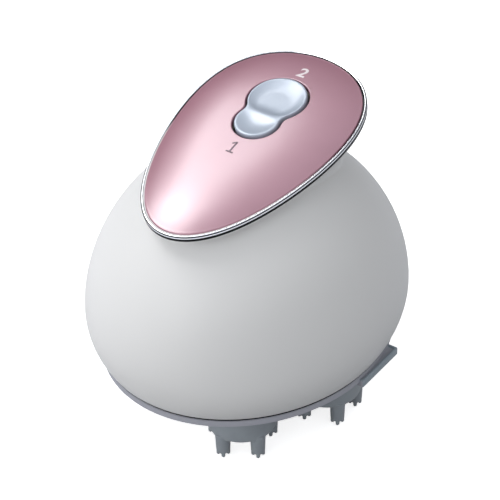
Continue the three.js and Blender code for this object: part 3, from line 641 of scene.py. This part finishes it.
        def outline(turn: float) -> float:
            """Distance from the waist to the lobe or the fillet that lies in a direction.

            Args:
                turn: The direction, in radians.

            Returns:
                The distance.
            """
            folded = math.atan2(math.sin(turn), abs(math.cos(turn)))
            if folded >= touch_back:
                return leaving(back_at, back, folded)
            if folded <= touch_front:
                return leaving(front_at, front, folded)
            middle = fillet_across * math.cos(folded)
            return middle - math.sqrt(max(middle**2 - fillet_across**2 + fillet**2, 0))

        return outline


@dataclass
class DomeHousing:
    """Pearl dome with the neck that carries the top."""

    form: Form
    wall: float = 2.4
    columns: int = 160
    dome_rows: int = 22
    neck_rows: int = 18
    edge: float = 0.6
    lift: float = 0.2

    def build(self) -> None:
        """Lofts the outside, gives it its wall and rounds the edge over the seam."""
        levels = [index / self.dome_rows for index in range(1, self.dome_rows + 1)]
        levels += [1 + index / self.neck_rows for index in range(1, self.neck_rows + 1)]
        rows = [[self.form.surface(angle, level) for angle in angles(self.columns)] for level in levels]
        obj = loft("dome_shell", [*(self._edge_row(turn) for turn in quarter(5)), *rows])
        solidify = obj.modifiers.new("wall", "SOLIDIFY")
        solidify.thickness = self.wall * MM
        solidify.offset = -1
        make_active(obj)
        bpy.ops.object.modifier_apply(modifier=solidify.name)
        smooth(obj, 40)
        hand_over(obj, [PEARL], "body", "pearl_shell", "dome_housing")

    def _edge_row(self, turn: float) -> list[Vector]:
        """A row of the rounded lower edge.

        Args:
            turn: Angle round the edge, from its underside at 0 to the dome's side at a quarter turn.

        Returns:
            The row's points.
        """
        rise = self.form.ring_height + self.lift + self.edge * (1 - math.cos(turn))
        inset = 1 - self.edge * (1 - math.sin(turn)) / self.form.half_width(rise)
        points = [self.form.dome_point(angle, rise) for angle in angles(self.columns)]
        return [Vector((p.x * inset, p.y * inset, p.z)) for p in points]


@dataclass
class RimBand:
    """Chrome band round the teardrop top, with the ledge that carries the panel, and painted dark reflection
    and painted shade on parts of its walls.
    """

    form: Form
    columns: int = 288
    crest: float = 0.9
    crest_steps: int = 14
    chamfer: float = 0.12
    ledge_width: float = 2.0
    wall_top: float = 0.35
    # Heights of the painted dark reflection on the outer wall, and the share of the crest under which the inner
    # seam takes painted shade.
    painted_dark_top: float = -0.02
    painted_line_low: float = 0.5
    painted_line_high: float = 0.8
    painted_seam_share: float = 0.75

    def section(self) -> list[tuple[float, float]]:
        """The band's section.

        Returns:
            Inset and height of each point, outer wall first.
        """
        foot = -self.form.rim_depth
        band = self.form.rim_band
        arc = [math.pi * index / self.crest_steps for index in range(self.crest_steps + 1)]
        crown = [
            (band / 2 * (1 - math.cos(turn)), self.wall_top + (self.crest - self.wall_top) * math.sin(turn))
            for turn in arc
        ]
        ledge = foot + self.form.ledge
        inner = band + self.ledge_width
        wall = [(self.chamfer, foot), (0.0, foot + self.chamfer), (0.0, self.painted_dark_top)]
        return [*wall, *crown, (band, ledge), (inner, ledge), (inner, foot)]

    def build(self) -> None:
        """Sweeps the section round the outline, then paints dark reflection on the foot and on a line of its
        outer wall, and paints shade on its inner seam.
        """
        rows = [
            [self.form.rim_point(angle, inset, height) for angle in angles(self.columns)]
            for inset, height in self.section()
        ]
        obj = loft("rim_band", rows, Ends.TUBE)
        smooth(obj, 50)
        plane = self.form.rim_frame.inverted()
        painted_seam_top = self.wall_top + (self.crest - self.wall_top) * self.painted_seam_share
        hand_over(obj, [CHROME, PAINTED_DARK], "body", "chrome_trim", "chrome_rim")
        # Outward faces below the top of the dark wall, and in the band between the two line heights, take
        # painted dark reflection; inward faces below the seam height take painted shade.
        for face in obj.data.polygons:
            local = plane @ (face.center / MM)
            normal = plane.to_3x3() @ face.normal
            if normal.x * local.x + normal.y * local.y > 0:
                dark = local.z < self.painted_dark_top or self.painted_line_low < local.z < self.painted_line_high
            else:
                dark = local.z < painted_seam_top
            face.material_index = int(dark)


@dataclass
class TopPanel:
    """Crowned pink panel with the opening for the rocker."""

    form: Form
    columns: int = 224
    field_rows: int = 34
    under_rows: tuple[float, ...] = (0.12, 0.5, 0.9)
    opening: float = 0.8
    rounding: float = 0.35
    thickness: float = 2.0

    def __post_init__(self) -> None:
        """Measures the panel's outline, so that a height is known at any plan place."""
        inset = self.form.rim_band + self.form.gap
        self.outline = [self.form.rim_outline(angle, inset) for angle in angles(self.columns)]
        fine = [self.form.rim_outline(angle, inset) for angle in angles(1440)]
        self.reach = sorted((math.atan2(p.y, p.x), p.length) for p in fine)

    def share_at(self, place: Vector) -> float:
        """How far a plan place lies on the way from the middle to the outline.

        Args:
            place: The place across and along the top.

        Returns:
            0 in the middle, 1 on the outline.
        """
        turn = math.atan2(place.y, place.x)
        low, high = 0, len(self.reach) - 1
        while high - low > 1:
            middle = (low + high) // 2
            low, high = (middle, high) if self.reach[middle][0] <= turn else (low, middle)
        (a, ra), (b, rb) = self.reach[low], self.reach[high]
        weight = (turn - a) / (b - a) if b > a else 0
        return place.length / (ra + (rb - ra) * min(max(weight, 0), 1))

    def height_at(self, place: Vector) -> float:
        """Height of the panel's top over the rim plane at a plan place."""
        return self.form.panel_height(self.share_at(place))

    def build(self) -> None:
        """Lofts the panel from the wall of its opening to its rolled edge and back underneath."""
        waist = Vector((0, self.form.waist_along))
        outline = self.form.lobes(self.opening)
        turns = [math.atan2(p.y - waist.y, p.x - waist.x) for p in self.outline]
        inner = [waist + polar(turn, outline(turn)).to_2d() for turn in turns]

        def row(share: float, lift: float, spare: float = 0.0) -> list[Vector]:
            """One row of the panel's top.

            Args:
                share: How far it lies from the opening to the edge, from 0 to 1.
                lift: Its height over the surface.
                spare: How far the start stands off the opening.

            Returns:
                The row's points.
            """
            points = []
            for start, end, turn in zip(inner, self.outline, turns):
                place = (start + polar(turn, spare).to_2d()).lerp(end, share)
                points.append(self.form.rim_frame @ Vector((place.x, place.y, self.height_at(place) + lift)))
            return points

        edge_row = [self.form.rim_frame @ Vector((p.x, p.y, self.form.panel_foot)) for p in self.outline]
        mouth = [
            row(0, -self.rounding * (1 - math.sin(turn)), self.rounding * (1 - math.cos(turn)))
            for turn in quarter(4)
        ]
        shares = [index / self.field_rows for index in range(1, self.field_rows + 1)]
        top = [row(0.5 * (1 - math.cos(math.pi * share)), 0, self.rounding) for share in shares]
        under = [self._under(edge_row, inner, share) for share in self.under_rows]
        obj = loft("panel_shell", [row(0, -self.thickness), *mouth, *top, edge_row, *under], Ends.TUBE)
        smooth(obj, 40)
        hand_over(obj, [PINK], "body", "pink_panel", "top_panel")

    def _under(self, edge: list[Vector], inner: list[Vector], share: float) -> list[Vector]:
        """A row of the underside.

        Args:
            edge: The foot of the panel's edge.
            inner: The opening's outline.
            share: How far the row lies from the edge to the opening, from 0 to 1.

        Returns:
            The row's points.
        """
        points = []
        for low, start in zip(edge, inner):
            top = self.form.rim_frame @ Vector((start.x, start.y, self.height_at(start) - self.thickness))
            points.append(low.lerp(top, share))
        return points


@dataclass
class Rocker:
    """Two-lobed rocker with a dish in each lobe and a ridge between them."""

    form: Form
    columns: int = 200
    rings: int = 44
    proud: float = 0.7
    wall: float = 1.5
    ceiling: float = 2.0
    skirt: float = 3.4
    edge: float = 0.5
    border: float = 0.5
    dish: float = 0.65
    bowl: float = 6.5
    ridge: float = 2.4

    def top(self, place: Vector, outline: Callable[[float], float]) -> float:
        """Height of the rocker's top over its frame at a plan place.

        Args:
            place: The place, from the waist's middle.
            outline: The rocker's outline, as a radius for each direction.

        Returns:
            The height.
        """
        margin = outline(math.atan2(place.y, place.x)) - place.length - self.edge - self.border
        near = min(max(margin / self.bowl, 0.0), 1.0)
        apart = 1 - math.exp(-((place.y / self.ridge) ** 2))
        return self.proud - self.dish * (1 - (1 - near) ** 2) * apart

    def build(self) -> None:
        """Lofts the skirt, the rounded edge and the dished top."""
        outline = self.form.lobes(0)
        turns = [math.pi / 2 + turn for turn in angles(self.columns)]
        reach = [outline(turn) for turn in turns]
        frame_of = self.form.rocker_frame

        def row(inset: float, height: float | None, share: float = 1.0) -> list[Vector]:
            """A row of the rocker.

            Args:
                inset: How far it stands inside the outline.
                height: Its height, or None for the height of the dished top.
                share: How far it lies from the middle to the inset outline.

            Returns:
                The row's points.
            """
            points = []
            for turn, radius in zip(turns, reach):
                flat = polar(turn, radius - inset) * share
                level = self.top(flat, outline) if height is None else height
                points.append(frame_of @ Vector((flat.x, flat.y, level)))
            return points

        edge = [
            row(self.edge * (1 - math.cos(turn)), self.proud - self.edge * (1 - math.sin(turn)))
            for turn in quarter(5)
        ]
        top = [row(self.edge, None, 1 - index / self.rings) for index in range(1, self.rings)]
        inner = row(self.wall, -self.skirt)
        ceiling = row(self.wall, self.proud - self.dish - self.ceiling)
        obj = loft("rocker_cap", [ceiling, inner, row(0, -self.skirt), *edge, *top], Ends.POLES)
        smooth(obj, 40)
        hand_over(obj, [SILVER], "rocker", "rocker_silver", "rocker_button")


@dataclass
class BaseCover:
    """Grey base ring with its platform, side lug, bosses and holes."""

    form: Form
    columns: int = 160
    foot: float = 50.0
    platform: float = 42.5
    floor_bottom: float = 18.5
    floor: float = 2.4
    lip_height: float = 3.3
    lip_wall: float = 1.8
    seam: float = 0.35
    dome_wall: float = 2.4
    lip_gap: float = 0.6
    middle: float = 20.0
    lug: tuple[float, float, float, float] = (47.0, 51.4, -4.25, 18.25)
    lug_top: float = 28.4
    lug_thickness: float = 3.0
    lug_edge: float = 0.3
    channel_inset: float = 0.9
    channel_depth: float = 0.6
    screw_turns: tuple[float, ...] = (56, 124, -75, -107)
    screw_inset: float = 3.4
    posts: tuple[tuple[float, float], ...] = ((120, 34), (-168, 36), (-96, 34), (-24, 36))
    post: float = 2.8
    post_top: float = 42.8
    bush_boss: float = 6.5
    axle_boss: float = 4.3
    idler_boss: float = 3.8
    idler_top: float = 34.4
    idler_place: tuple[float, float] = (48, 27.5)
    bush_bore: float = 4.5
    axle_bore: float = 2.3
    bore_bottom: float = 10.0
    contact_bore: float = 2.5
    contact_along: float = 9.0
    screw_bore: float = 1.5
    screw_pocket: float = 2.7
    screw_drop: float = 5.0
    pocket_depth: float = 1.65

    def profile(self) -> list[tuple[float, float, float]]:
        """The cup's section.

        Returns:
            Half width, oval and height of each row, from the underside's middle to the floor's.
        """
        ring = self.form.ring_bottom
        top = ring + self.form.ring_height - self.form.gap
        upper = self.form.half_width(self.form.ring_height)
        oval = self.form.body_oval
        lip = upper - self.dome_wall - self.lip_gap
        inner = lip - self.lip_wall
        lip_top = top + self.lip_height
        low = self.floor_bottom
        well = self.platform - self.floor
        return [
            (self.middle, 1, low), (self.platform - 1, 1, low), (self.platform - 0.3, 1, low + 0.3),
            (self.platform, 1, low + 1), (self.platform, 1, ring - 0.6), (self.platform + 0.6, 1, ring),
            (self.foot - 1.2, oval, ring), (self.foot - 0.45, oval, ring + 0.15), (self.foot, oval, ring + 0.6),
            (upper, oval, top - 0.85), (upper - 0.12, oval, top - 0.5), (upper - 0.45, oval, top - self.seam),
            (lip, oval, top - self.seam), (lip, oval, lip_top), (inner, oval, lip_top),
            (inner, oval, ring + self.floor), (well, 1, ring + self.floor), (well, 1, low + self.floor),
            (self.middle, 1, low + self.floor),
        ]

    def build(self) -> None:
        """Lofts the cup, adds the lug and bosses, and drills the holes."""
        turns = angles(self.columns)
        rows = [
            [Vector((width * math.cos(turn), oval * width * math.sin(turn), height)) for turn in turns]
            for width, oval, height in self.profile()
        ]
        obj = loft("base_ring", rows, Ends.POLES)
        boolean(obj, [self._lug(), *self._bosses()], "UNION")
        boolean(obj, self._holes(), "DIFFERENCE")
        smooth(obj, 32)
        hand_over(obj, [GREY, SLATE, SHADOW], "body", "base_grey", "base_cover")
        # Lug faces take the slate finish; faces on the ledge and lip inside the seam gap take painted shade.
        for face in obj.data.polygons:
            place = face.center / MM
            face.material_index = 1 if self._on_lug(place) else 2 if self._in_painted_shade(place) else 0

    def _on_lug(self, place: Vector) -> bool:
        """Whether a face belongs to the lug.

        Args:
            place: The face's middle, in millimetres.

        Returns:
            True where it lies on the part of the lug that stands out of the ring.
        """
        low_x, high_x, low_y, high_y = self.lug
        ring = Vector((place.x, place.y / self.form.body_oval)).length
        inside = low_x < place.x < high_x + 0.1 and low_y - 0.1 < place.y < high_y + 0.1
        return inside and ring > self.foot + 0.2 and place.z < self.lug_top + 0.1

    def _in_painted_shade(self, place: Vector) -> bool:
        """Whether a face lies in the gap behind the seam under the dome, where shade is painted.

        Args:
            place: The face's middle, in millimetres.

        Returns:
            True where it lies on the ledge or on the lip, the faces that take the painted shade.
        """
        ring = Vector((place.x, place.y / self.form.body_oval)).length
        edge = self.form.half_width(self.form.ring_height) - 0.5
        top = self.form.ring_bottom + self.form.ring_height - self.form.gap - self.seam
        return ring < edge and place.z > top - 0.05

    def _lug(self) -> bpy.types.Object:
        """The side lug, a bar with softened edges and a shallow channel in its top.

        Returns:
            The lug's mesh.
        """
        low_x, high_x, low_y, high_y = self.lug
        clear_selection()
        middle = Vector(((low_x + high_x) / 2, (low_y + high_y) / 2, self.lug_top - self.lug_thickness / 2))
        bpy.ops.mesh.primitive_cube_add(size=MM, location=middle * MM)
        obj = bpy.context.object
        obj.scale = (high_x - low_x, high_y - low_y, self.lug_thickness)
        bpy.ops.object.transform_apply(location=True, rotation=False, scale=True)
        bpy.ops.object.mode_set(mode="EDIT")
        mesh = bmesh.from_edit_mesh(obj.data)
        for face in mesh.faces:
            face.select = face.normal.z > 0.9
        mesh.select_flush_mode()
        bpy.ops.mesh.inset(thickness=self.channel_inset * MM)
        bpy.ops.mesh.extrude_region_move(TRANSFORM_OT_translate={"value": (0, 0, -self.channel_depth * MM)})
        bpy.ops.mesh.select_all(action="SELECT")
        bpy.ops.mesh.bevel(offset=self.lug_edge * MM, segments=3, affect="EDGES")
        bpy.ops.object.mode_set(mode="OBJECT")
        return obj

    def _screws(self) -> list[tuple[float, float]]:
        """Places of the base screws, which stand against the inside of the lip.

        Returns:
            Direction in degrees and distance from the middle, for each screw.
        """
        lip = self.form.half_width(self.form.ring_height) - self.dome_wall - self.lip_gap
        inner = lip - self.lip_wall
        places = []
        for degrees in self.screw_turns:
            way = polar(math.radians(degrees))
            reach = inner / math.hypot(way.x, way.y / self.form.body_oval)
            places.append((degrees, reach - self.screw_inset))
        return places

    def _rod(self, radius: float, low: float, high: float, degrees: float, reach: float) -> bpy.types.Object:
        """An upright rod between two heights, at a direction in degrees and a distance from the middle."""
        profile = [(radius / 2, low), (radius, low), (radius, high), (radius / 2, high)]
        return turned("rod", profile, 32, polar(math.radians(degrees), reach))

    def _bosses(self) -> list[bpy.types.Object]:
        """Bosses for the spindles and axles, and the posts that carry the gearbox plate.

        Returns:
            The rods that are joined to the cup.
        """
        root = self.floor_bottom + self.floor / 2
        top = self.form.ring_bottom + self.floor
        rods = [self._rod(self.bush_boss, root, top, degrees, HEAD_CIRCLE) for degrees in HEAD_PLACES]
        rods.append(self._rod(self.axle_boss, root, top, 0, 0))
        rods.append(self._rod(self.idler_boss, root, self.idler_top, *self.idler_place))
        return rods + [self._rod(self.post, root, self.post_top, *place) for place in self.posts]

    def _holes(self) -> list[bpy.types.Object]:
        """Bores for the bushes, axles and contacts, and the screws with their pockets.

        Returns:
            The rods that are cut out of the cup.
        """
        ring = self.form.ring_bottom
        over = ring + self.floor + 1
        inside = self.floor_bottom + self.floor
        low = self.bore_bottom
        rods = [self._rod(self.bush_bore, low, over, degrees, HEAD_CIRCLE) for degrees in HEAD_PLACES]
        rods.append(self._rod(self.axle_bore, inside, over, 0, 0))
        for turn in (-90, 90):
            rods.append(self._rod(self.contact_bore, low, inside + 1, turn, self.contact_along))
        for radius, high in ((self.screw_bore, over), (self.screw_pocket, ring + self.pocket_depth)):
            rods += [self._rod(radius, ring - self.screw_drop, high, *place) for place in self._screws()]
        return rods


@dataclass
class BrushHeads:
    """Five silicone heads, each a disc with five nubbed fingers."""

    turns: tuple[float, ...] = (50, 38, 16, 60, 18)
    bottom: float = 8.0
    top: float = 18.0
    radius: float = 12.6
    rounding: float = 2.0
    chamfer: float = 0.5
    core: float = 4.0
    finger_circle: float = 10.4
    finger_root: float = 2.8
    finger_end: float = 2.5
    nub_circle: float = 1.75
    nub_radius: float = 0.72
    nub_length: float = 1.8
    nub_turn: float = 36.0
    voxel: float = 0.25

    def build(self) -> None:
        """Models one head, then sets a turned copy of it in each place."""
        for number, (place, turn) in enumerate(zip(HEAD_PLACES, self.turns), start=1):
            head = self._head(f"massage_head_{number}", math.radians(turn))
            head.data.transform(Matrix.Translation(polar(math.radians(place)) * HEAD_CIRCLE * MM))
            hand_over(head, [SILICONE], f"head_{number}", "silicone", f"brush_head_{number}")

    def _head(self, name: str, turn: float) -> bpy.types.Object:
        """One head at the origin, its parts melted together as moulded silicone is.

        Args:
            name: Name of the new piece.
            turn: Direction of its first finger, in radians.

        Returns:
            The head, in one closed mesh.
        """
        inner, root = self.radius - self.rounding, self.bottom + self.rounding
        bottom = [
            (inner + self.rounding * math.sin(corner), root - self.rounding * math.cos(corner))
            for corner in quarter(6)
        ]
        upper = [(self.radius, self.top - self.chamfer), (self.radius - self.chamfer, self.top)]
        parts = [turned(name, [(self.core, self.bottom), *bottom, *upper, (self.core, self.top)], 96)]
        for step in angles(5):
            parts += self._finger(turn + step)
        obj = join(parts)
        remesh = obj.modifiers.new("melt", "REMESH")
        remesh.mode = "VOXEL"
        remesh.voxel_size = self.voxel * MM
        soften = obj.modifiers.new("soften", "SMOOTH")
        soften.factor = 0.5
        soften.iterations = 3
        make_active(obj)
        bpy.ops.object.modifier_apply(modifier=remesh.name)
        bpy.ops.object.modifier_apply(modifier=soften.name)
        bpy.ops.object.shade_smooth()
        return obj

    def _finger(self, turn: float) -> list[bpy.types.Object]:
        """A tapered finger with a crown of four nubs.

        Args:
            turn: Direction of the finger from the head's middle, in radians.

        Returns:
            The finger's post and its nubs.
        """
        place = polar(turn, self.finger_circle)
        end = self.nub_length
        root = self.bottom + self.rounding
        post = [
            (1, end), (self.finger_end - 0.5, end), (self.finger_end - 0.1, end + 0.2),
            (self.finger_end, end + 0.7), (self.finger_root, root), (1, root),
        ]
        tip = [(self.nub_radius * math.sin(a), self.nub_radius * (1 - math.cos(a))) for a in quarter(4)[1:]]
        nub = [*tip, (self.nub_radius, end + 0.5), (self.nub_radius / 2, end + 0.5)]
        at = [place + polar(math.radians(self.nub_turn) + step, self.nub_circle) for step in angles(4)]
        return [turned("post", post, 32, place), *(turned("nub", nub, 16, spot) for spot in at)]


@dataclass
class Numerals:
    """Plain numbers printed on the panel beside the two lobes."""

    panel: TopPanel
    size: float = 7.0
    weight: float = 0.14
    stroke: float = 0.62
    two_along: float = 35.0
    one_along: float = -6.8
    over: float = 0.05
    under: float = 0.01

    def build(self) -> None:
        """Prints a 2 beside the back lobe and draws a 1 beside the front one."""
        self._two()
        low, high, reach = -0.35 * self.size, 0.35 * self.size, 0.2 * self.size
        stem, foot = ((0, low), (0, high)), ((-reach, low), (reach, low))
        flag = ((-reach, high - 0.8 * reach), (0, high))
        pieces = [self._stroke(Vector(start), Vector(end)) for start, end in (stem, foot, flag)]
        hand_over(join(pieces), [PRINT_DARK], "body", "pink_panel")

    def _laid(self, across: float, along: float, lift: float) -> Vector:
        """A place on the panel's surface, lifted by a little."""
        height = self.panel.height_at(Vector((across, along))) + lift
        return self.panel.form.rim_frame @ Vector((across, along, height))

    def _stroke(self, start: Vector, end: Vector) -> bpy.types.Object:
        """One straight stroke of the 1, laid on the panel's surface.

        Args:
            start: Where the stroke starts, from the number's middle.
            end: Where it ends.

        Returns:
            The stroke's mesh.
        """
        along = (end - start).normalized()
        across = Vector((-along.y, along.x)) * self.stroke / 2
        rows = []
        for share in (0, 0, 0.2, 0.4, 0.6, 0.8, 1, 1):
            middle = Vector((0, self.one_along)) + start.lerp(end, share)
            left, right = middle + across, middle - across
            corners = ((left, self.over), (right, self.over), (right, self.under), (left, self.under))
            rows.append([self._laid(*corner, lift) for corner, lift in corners])
        return loft("print_1", rows, Ends.POLES)

    def _two(self) -> None:
        """Prints the 2 as text, made a mesh and laid on the panel's surface."""
        clear_selection()
        bpy.ops.object.text_add(location=(0, 0, 0))
        obj = bpy.context.object
        obj.name = "print_2"
        obj.data.body = "2"
        obj.data.size = self.size * MM
        obj.data.align_x = obj.data.align_y = "CENTER"
        obj.data.resolution_u = 8
        obj.data.offset = self.weight * MM
        obj.data.extrude = (self.over - self.under) / 2 * MM
        bpy.ops.object.convert(target="MESH")
        lift = (self.over + self.under) / 2
        for vert in obj.data.vertices:
            across, along, depth = vert.co / MM
            vert.co = self._laid(across, along + self.two_along, lift + depth) * MM
        hand_over(obj, [PRINT_PALE], "body", "pink_panel")


@dataclass
class InnerParts:
    """The solids that keep their CAD shape: fasteners, gears, shafts, motor, cell and boards."""

    dressing: dict[str, Finish] = field(default_factory=lambda: {
        "steel": STEEL, "brass": BRASS, "nylon": NYLON, "board": RESIN, "cell": SLEEVE, "seal_rubber": RUBBER,
    })

    def dress(self) -> None:
        """Gives each solid that is still shown the finish of its material slot."""
        slots = {row["node"]: row["material_slot"] for row in frame["record"]["subparts"]}
        for name, obj in frame["nodes"].items():
            if obj.hide_render or slots[name] not in self.dressing:
                continue
            obj.data.materials.clear()
            obj.data.materials.append(self.dressing[slots[name]].material())
            log.info("%s dressed as %s", name, slots[name])


def choose_by_ray(tree: bpy.types.NodeTree, surfaces: bpy.types.Node, mirrored: bpy.types.Node,
                  seen: bpy.types.Node, out: bpy.types.Node) -> None:
    """Links a shader of its own to the output for each kind of ray.

    Args:
        tree: The nodes of a material or of the world.
        surfaces: What lights other surfaces.
        mirrored: What glossy surfaces mirror.
        seen: What the camera sees.
        out: The output.
    """
    rays = tree.nodes.new("ShaderNodeLightPath")
    unseen, choose = (tree.nodes.new("ShaderNodeMixShader") for _ in range(2))
    for mix, ray, usual, special in (
        (unseen, "Is Glossy Ray", surfaces, mirrored), (choose, "Is Camera Ray", unseen, seen),
    ):
        tree.links.new(rays.outputs[ray], mix.inputs[0])
        tree.links.new(usual.outputs[0], mix.inputs[1])
        tree.links.new(special.outputs[0], mix.inputs[2])
    tree.links.new(choose.outputs[0], out.inputs[0])


@dataclass
class Studio:
    """Pale floor, soft lamps and the camera at the photograph's angle."""

    azimuth: float = 36.32
    elevation: float = 35.69
    roll: float = -1.29
    distance: float = 600.0
    lens: float = 129.36
    target: tuple[float, float, float] = (13.78, -17.23, 76.6)
    floor_size: float = 6.0
    floor_glow: float = 0.75
    floor_color: Color = (0.86, 0.86, 0.86)
    floor_mirrored: Color = (0.85, 0.86, 0.9)
    floor_bounce: Color = (0.25, 0.25, 0.25)
    dim_light: float = 0.68
    dim_color: Color = (0.95, 0.97, 1.0)
    mirrored: tuple[float, float, float] = (-0.57, 0.19, 0.8)
    streak: tuple[float, float] = (0.26, 0.64)
    streak_power: float = 3.1
    sheen_power: float = 0.6

    def back(self) -> Vector:
        """Direction from the target to the camera."""
        turn, lift = math.radians(self.azimuth), math.radians(self.elevation)
        return Vector((math.sin(turn) * math.cos(lift), -math.cos(turn) * math.cos(lift), math.sin(lift)))

    def build(self) -> None:
        """Sets up the camera, the floor, the world and the lamps."""
        self._camera()
        self._floor()
        self._world()
        self._lamps()
        bpy.context.scene.view_settings.view_transform = "Standard"

    def _camera(self) -> None:
        """Creates the camera at the photograph's angle."""
        data = bpy.data.cameras.new("camera")
        data.lens = self.lens
        data.sensor_width = 36
        data.clip_start, data.clip_end = 0.01, 20
        camera = bpy.data.objects.new("camera", data)
        bpy.context.scene.collection.objects.link(camera)
        back = self.back()
        right = (-back).cross(UP).normalized()
        up = right.cross(-back)
        turn = math.radians(self.roll)
        right_turned = right * math.cos(turn) + up * math.sin(turn)
        up_turned = up * math.cos(turn) - right * math.sin(turn)
        place = (Vector(self.target) + back * self.distance) * MM
        rows = zip(right_turned, up_turned, back, place)
        camera.matrix_world = Matrix((*rows, (0, 0, 0, 1)))
        bpy.context.scene.camera = camera

    def _floor(self) -> None:
        """Lays a wide floor: near white to the camera, pale in reflections, dim where it lights the object."""
        clear_selection()
        bpy.ops.mesh.primitive_plane_add(size=self.floor_size, location=(0, 0, -0.0002))
        floor = bpy.context.object
        floor.name = "floor"
        material = bpy.data.materials.new("floor_white")
        material.use_nodes = True
        tree = material.node_tree
        shader = tree.nodes["Principled BSDF"]
        shader.inputs["Base Color"].default_value = (*self.floor_color, 1)
        shader.inputs["Roughness"].default_value = 0.9
        glow = tree.nodes.new("ShaderNodeEmission")
        glow.inputs["Strength"].default_value = self.floor_glow
        seen = tree.nodes.new("ShaderNodeAddShader")
        tree.links.new(shader.outputs[0], seen.inputs[0])
        tree.links.new(glow.outputs[0], seen.inputs[1])
        dim, pale = (tree.nodes.new("ShaderNodeBsdfDiffuse") for _ in range(2))
        dim.inputs["Color"].default_value = (*self.floor_bounce, 1)
        pale.inputs["Color"].default_value = (*self.floor_mirrored, 1)
        choose_by_ray(tree, dim, pale, seen, tree.nodes["Material Output"])
        floor.data.materials.append(material)

    def _world(self) -> None:
        """White for the camera, a dim even light on surfaces, and a dark horizon in their reflections."""
        world = bpy.context.scene.world or bpy.data.worlds.new("studio")
        bpy.context.scene.world = world
        world.use_nodes = True
        tree = world.node_tree
        tree.nodes.clear()
        out = tree.nodes.new("ShaderNodeOutputWorld")
        dim, white, mirrored = (tree.nodes.new("ShaderNodeBackground") for _ in range(3))
        dim.inputs["Color"].default_value = (*self.dim_color, 1)
        dim.inputs["Strength"].default_value = self.dim_light
        white.inputs["Strength"].default_value = 1.0
        tree.links.new(self._sky_ramp(tree).outputs[0], mirrored.inputs["Color"])
        choose_by_ray(tree, dim, mirrored, white, out)

    def _sky_ramp(self, tree: bpy.types.NodeTree) -> bpy.types.Node:
        """Brightness of the mirrored studio, from its dark horizon up to its pale ceiling.

        Args:
            tree: The world's nodes.

        Returns:
            The ramp, whose first output is the colour.
        """
        place = tree.nodes.new("ShaderNodeTexCoord")
        split = tree.nodes.new("ShaderNodeSeparateXYZ")
        tree.links.new(place.outputs["Generated"], split.inputs[0])
        ramp = tree.nodes.new("ShaderNodeValToRGB")
        tree.links.new(split.outputs["Z"], ramp.inputs[0])
        low, high = ramp.color_ramp.elements
        low.position, low.color = 0.25, (0.006, 0.006, 0.008, 1)
        high.position, high.color = 0.8, (0.5, 0.51, 0.54, 1)
        middle = ramp.color_ramp.elements.new(0.55)
        middle.color = (0.1, 0.105, 0.115, 1)
        return ramp

    def _lamps(self) -> None:
        """Places soft lamps all round, and two that are mirrored along the panel."""
        side = (-self.back()).cross(UP).normalized()
        front = Vector((self.back().x, self.back().y, 0)).normalized()
        middle = UP * 0.07
        large, small = (0.5, 0.5), (0.4, 0.4)
        soft = (
            ("left", -side * 0.72 + front * 0.15 + UP * 0.1, large, 1.19),
            ("left_back", -side * 0.5 - front * 0.35 + UP * 0.4, large, 0.6),
            ("left_front", -side * 0.45 + front * 0.5 + UP * 0.25, small, 0.88),
            ("front", front * 0.66 + UP * 0.3, small, 0.2),
            ("right", side * 0.4 + front * 0.5 + UP * 0.3, small, 0.1),
            ("high", Vector((-0.36, -0.08, 0.53)), (0.3, 0.34), 1.4),
        )
        lamps = [self._lamp(name, middle + way, middle, size, power) for name, way, size, power in soft]
        for lamp in lamps[:2]:
            lamp.visible_glossy = False
        panel = Vector((0, -0.01, 0.11))
        above = panel + Vector(self.mirrored).normalized() * 1.2
        lengthwise = Vector((0, 1, 0))
        streak = self._lamp("streak", above, panel, self.streak, self.streak_power, lengthwise)
        place = Vector((-0.1, 0.1, 1.1))
        sheen = self._lamp("sheen", place, panel, (0.7, 0.9), self.sheen_power, lengthwise)
        sheen.data.color = (0.82, 0.9, 1)
        for lamp in (streak, sheen):
            lamp.visible_diffuse = False

    def _lamp(self, name: str, place: Vector, aim: Vector, size: tuple[float, float], power: float,
              along: Vector = UP) -> bpy.types.Object:
        """Adds one area lamp.

        Args:
            name: Its name.
            place: Where it hangs, in metres.
            aim: The point that it faces.
            size: Its width and height in metres.
            power: Its power in watts.
            along: The direction that its height follows as far as its aim allows.

        Returns:
            The lamp.
        """
        data = bpy.data.lights.new(name, "AREA")
        data.shape = "RECTANGLE"
        data.size, data.size_y = size
        data.energy = power
        lamp = bpy.data.objects.new(name, data)
        behind = (place - aim).normalized()
        height = (along - behind * along.dot(behind)).normalized()
        width = height.cross(behind)
        lamp.matrix_world = Matrix.Translation(place) @ Matrix((width, height, behind)).transposed().to_4x4()
        bpy.context.scene.collection.objects.link(lamp)
        return lamp


def main() -> None:
    """Builds the pieces, dresses the solids and lights the scene."""
    logging.basicConfig(level=logging.INFO, format="%(name)s %(message)s")
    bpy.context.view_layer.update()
    form = Form()
    studio = Studio()
    studio.build()
    DomeHousing(form).build()
    RimBand(form).build()
    panel = TopPanel(form)
    panel.build()
    Rocker(form).build()
    BaseCover(form).build()
    BrushHeads().build()
    Numerals(panel).build()
    InnerParts().dress()


if __name__ == "__main__":
    main()
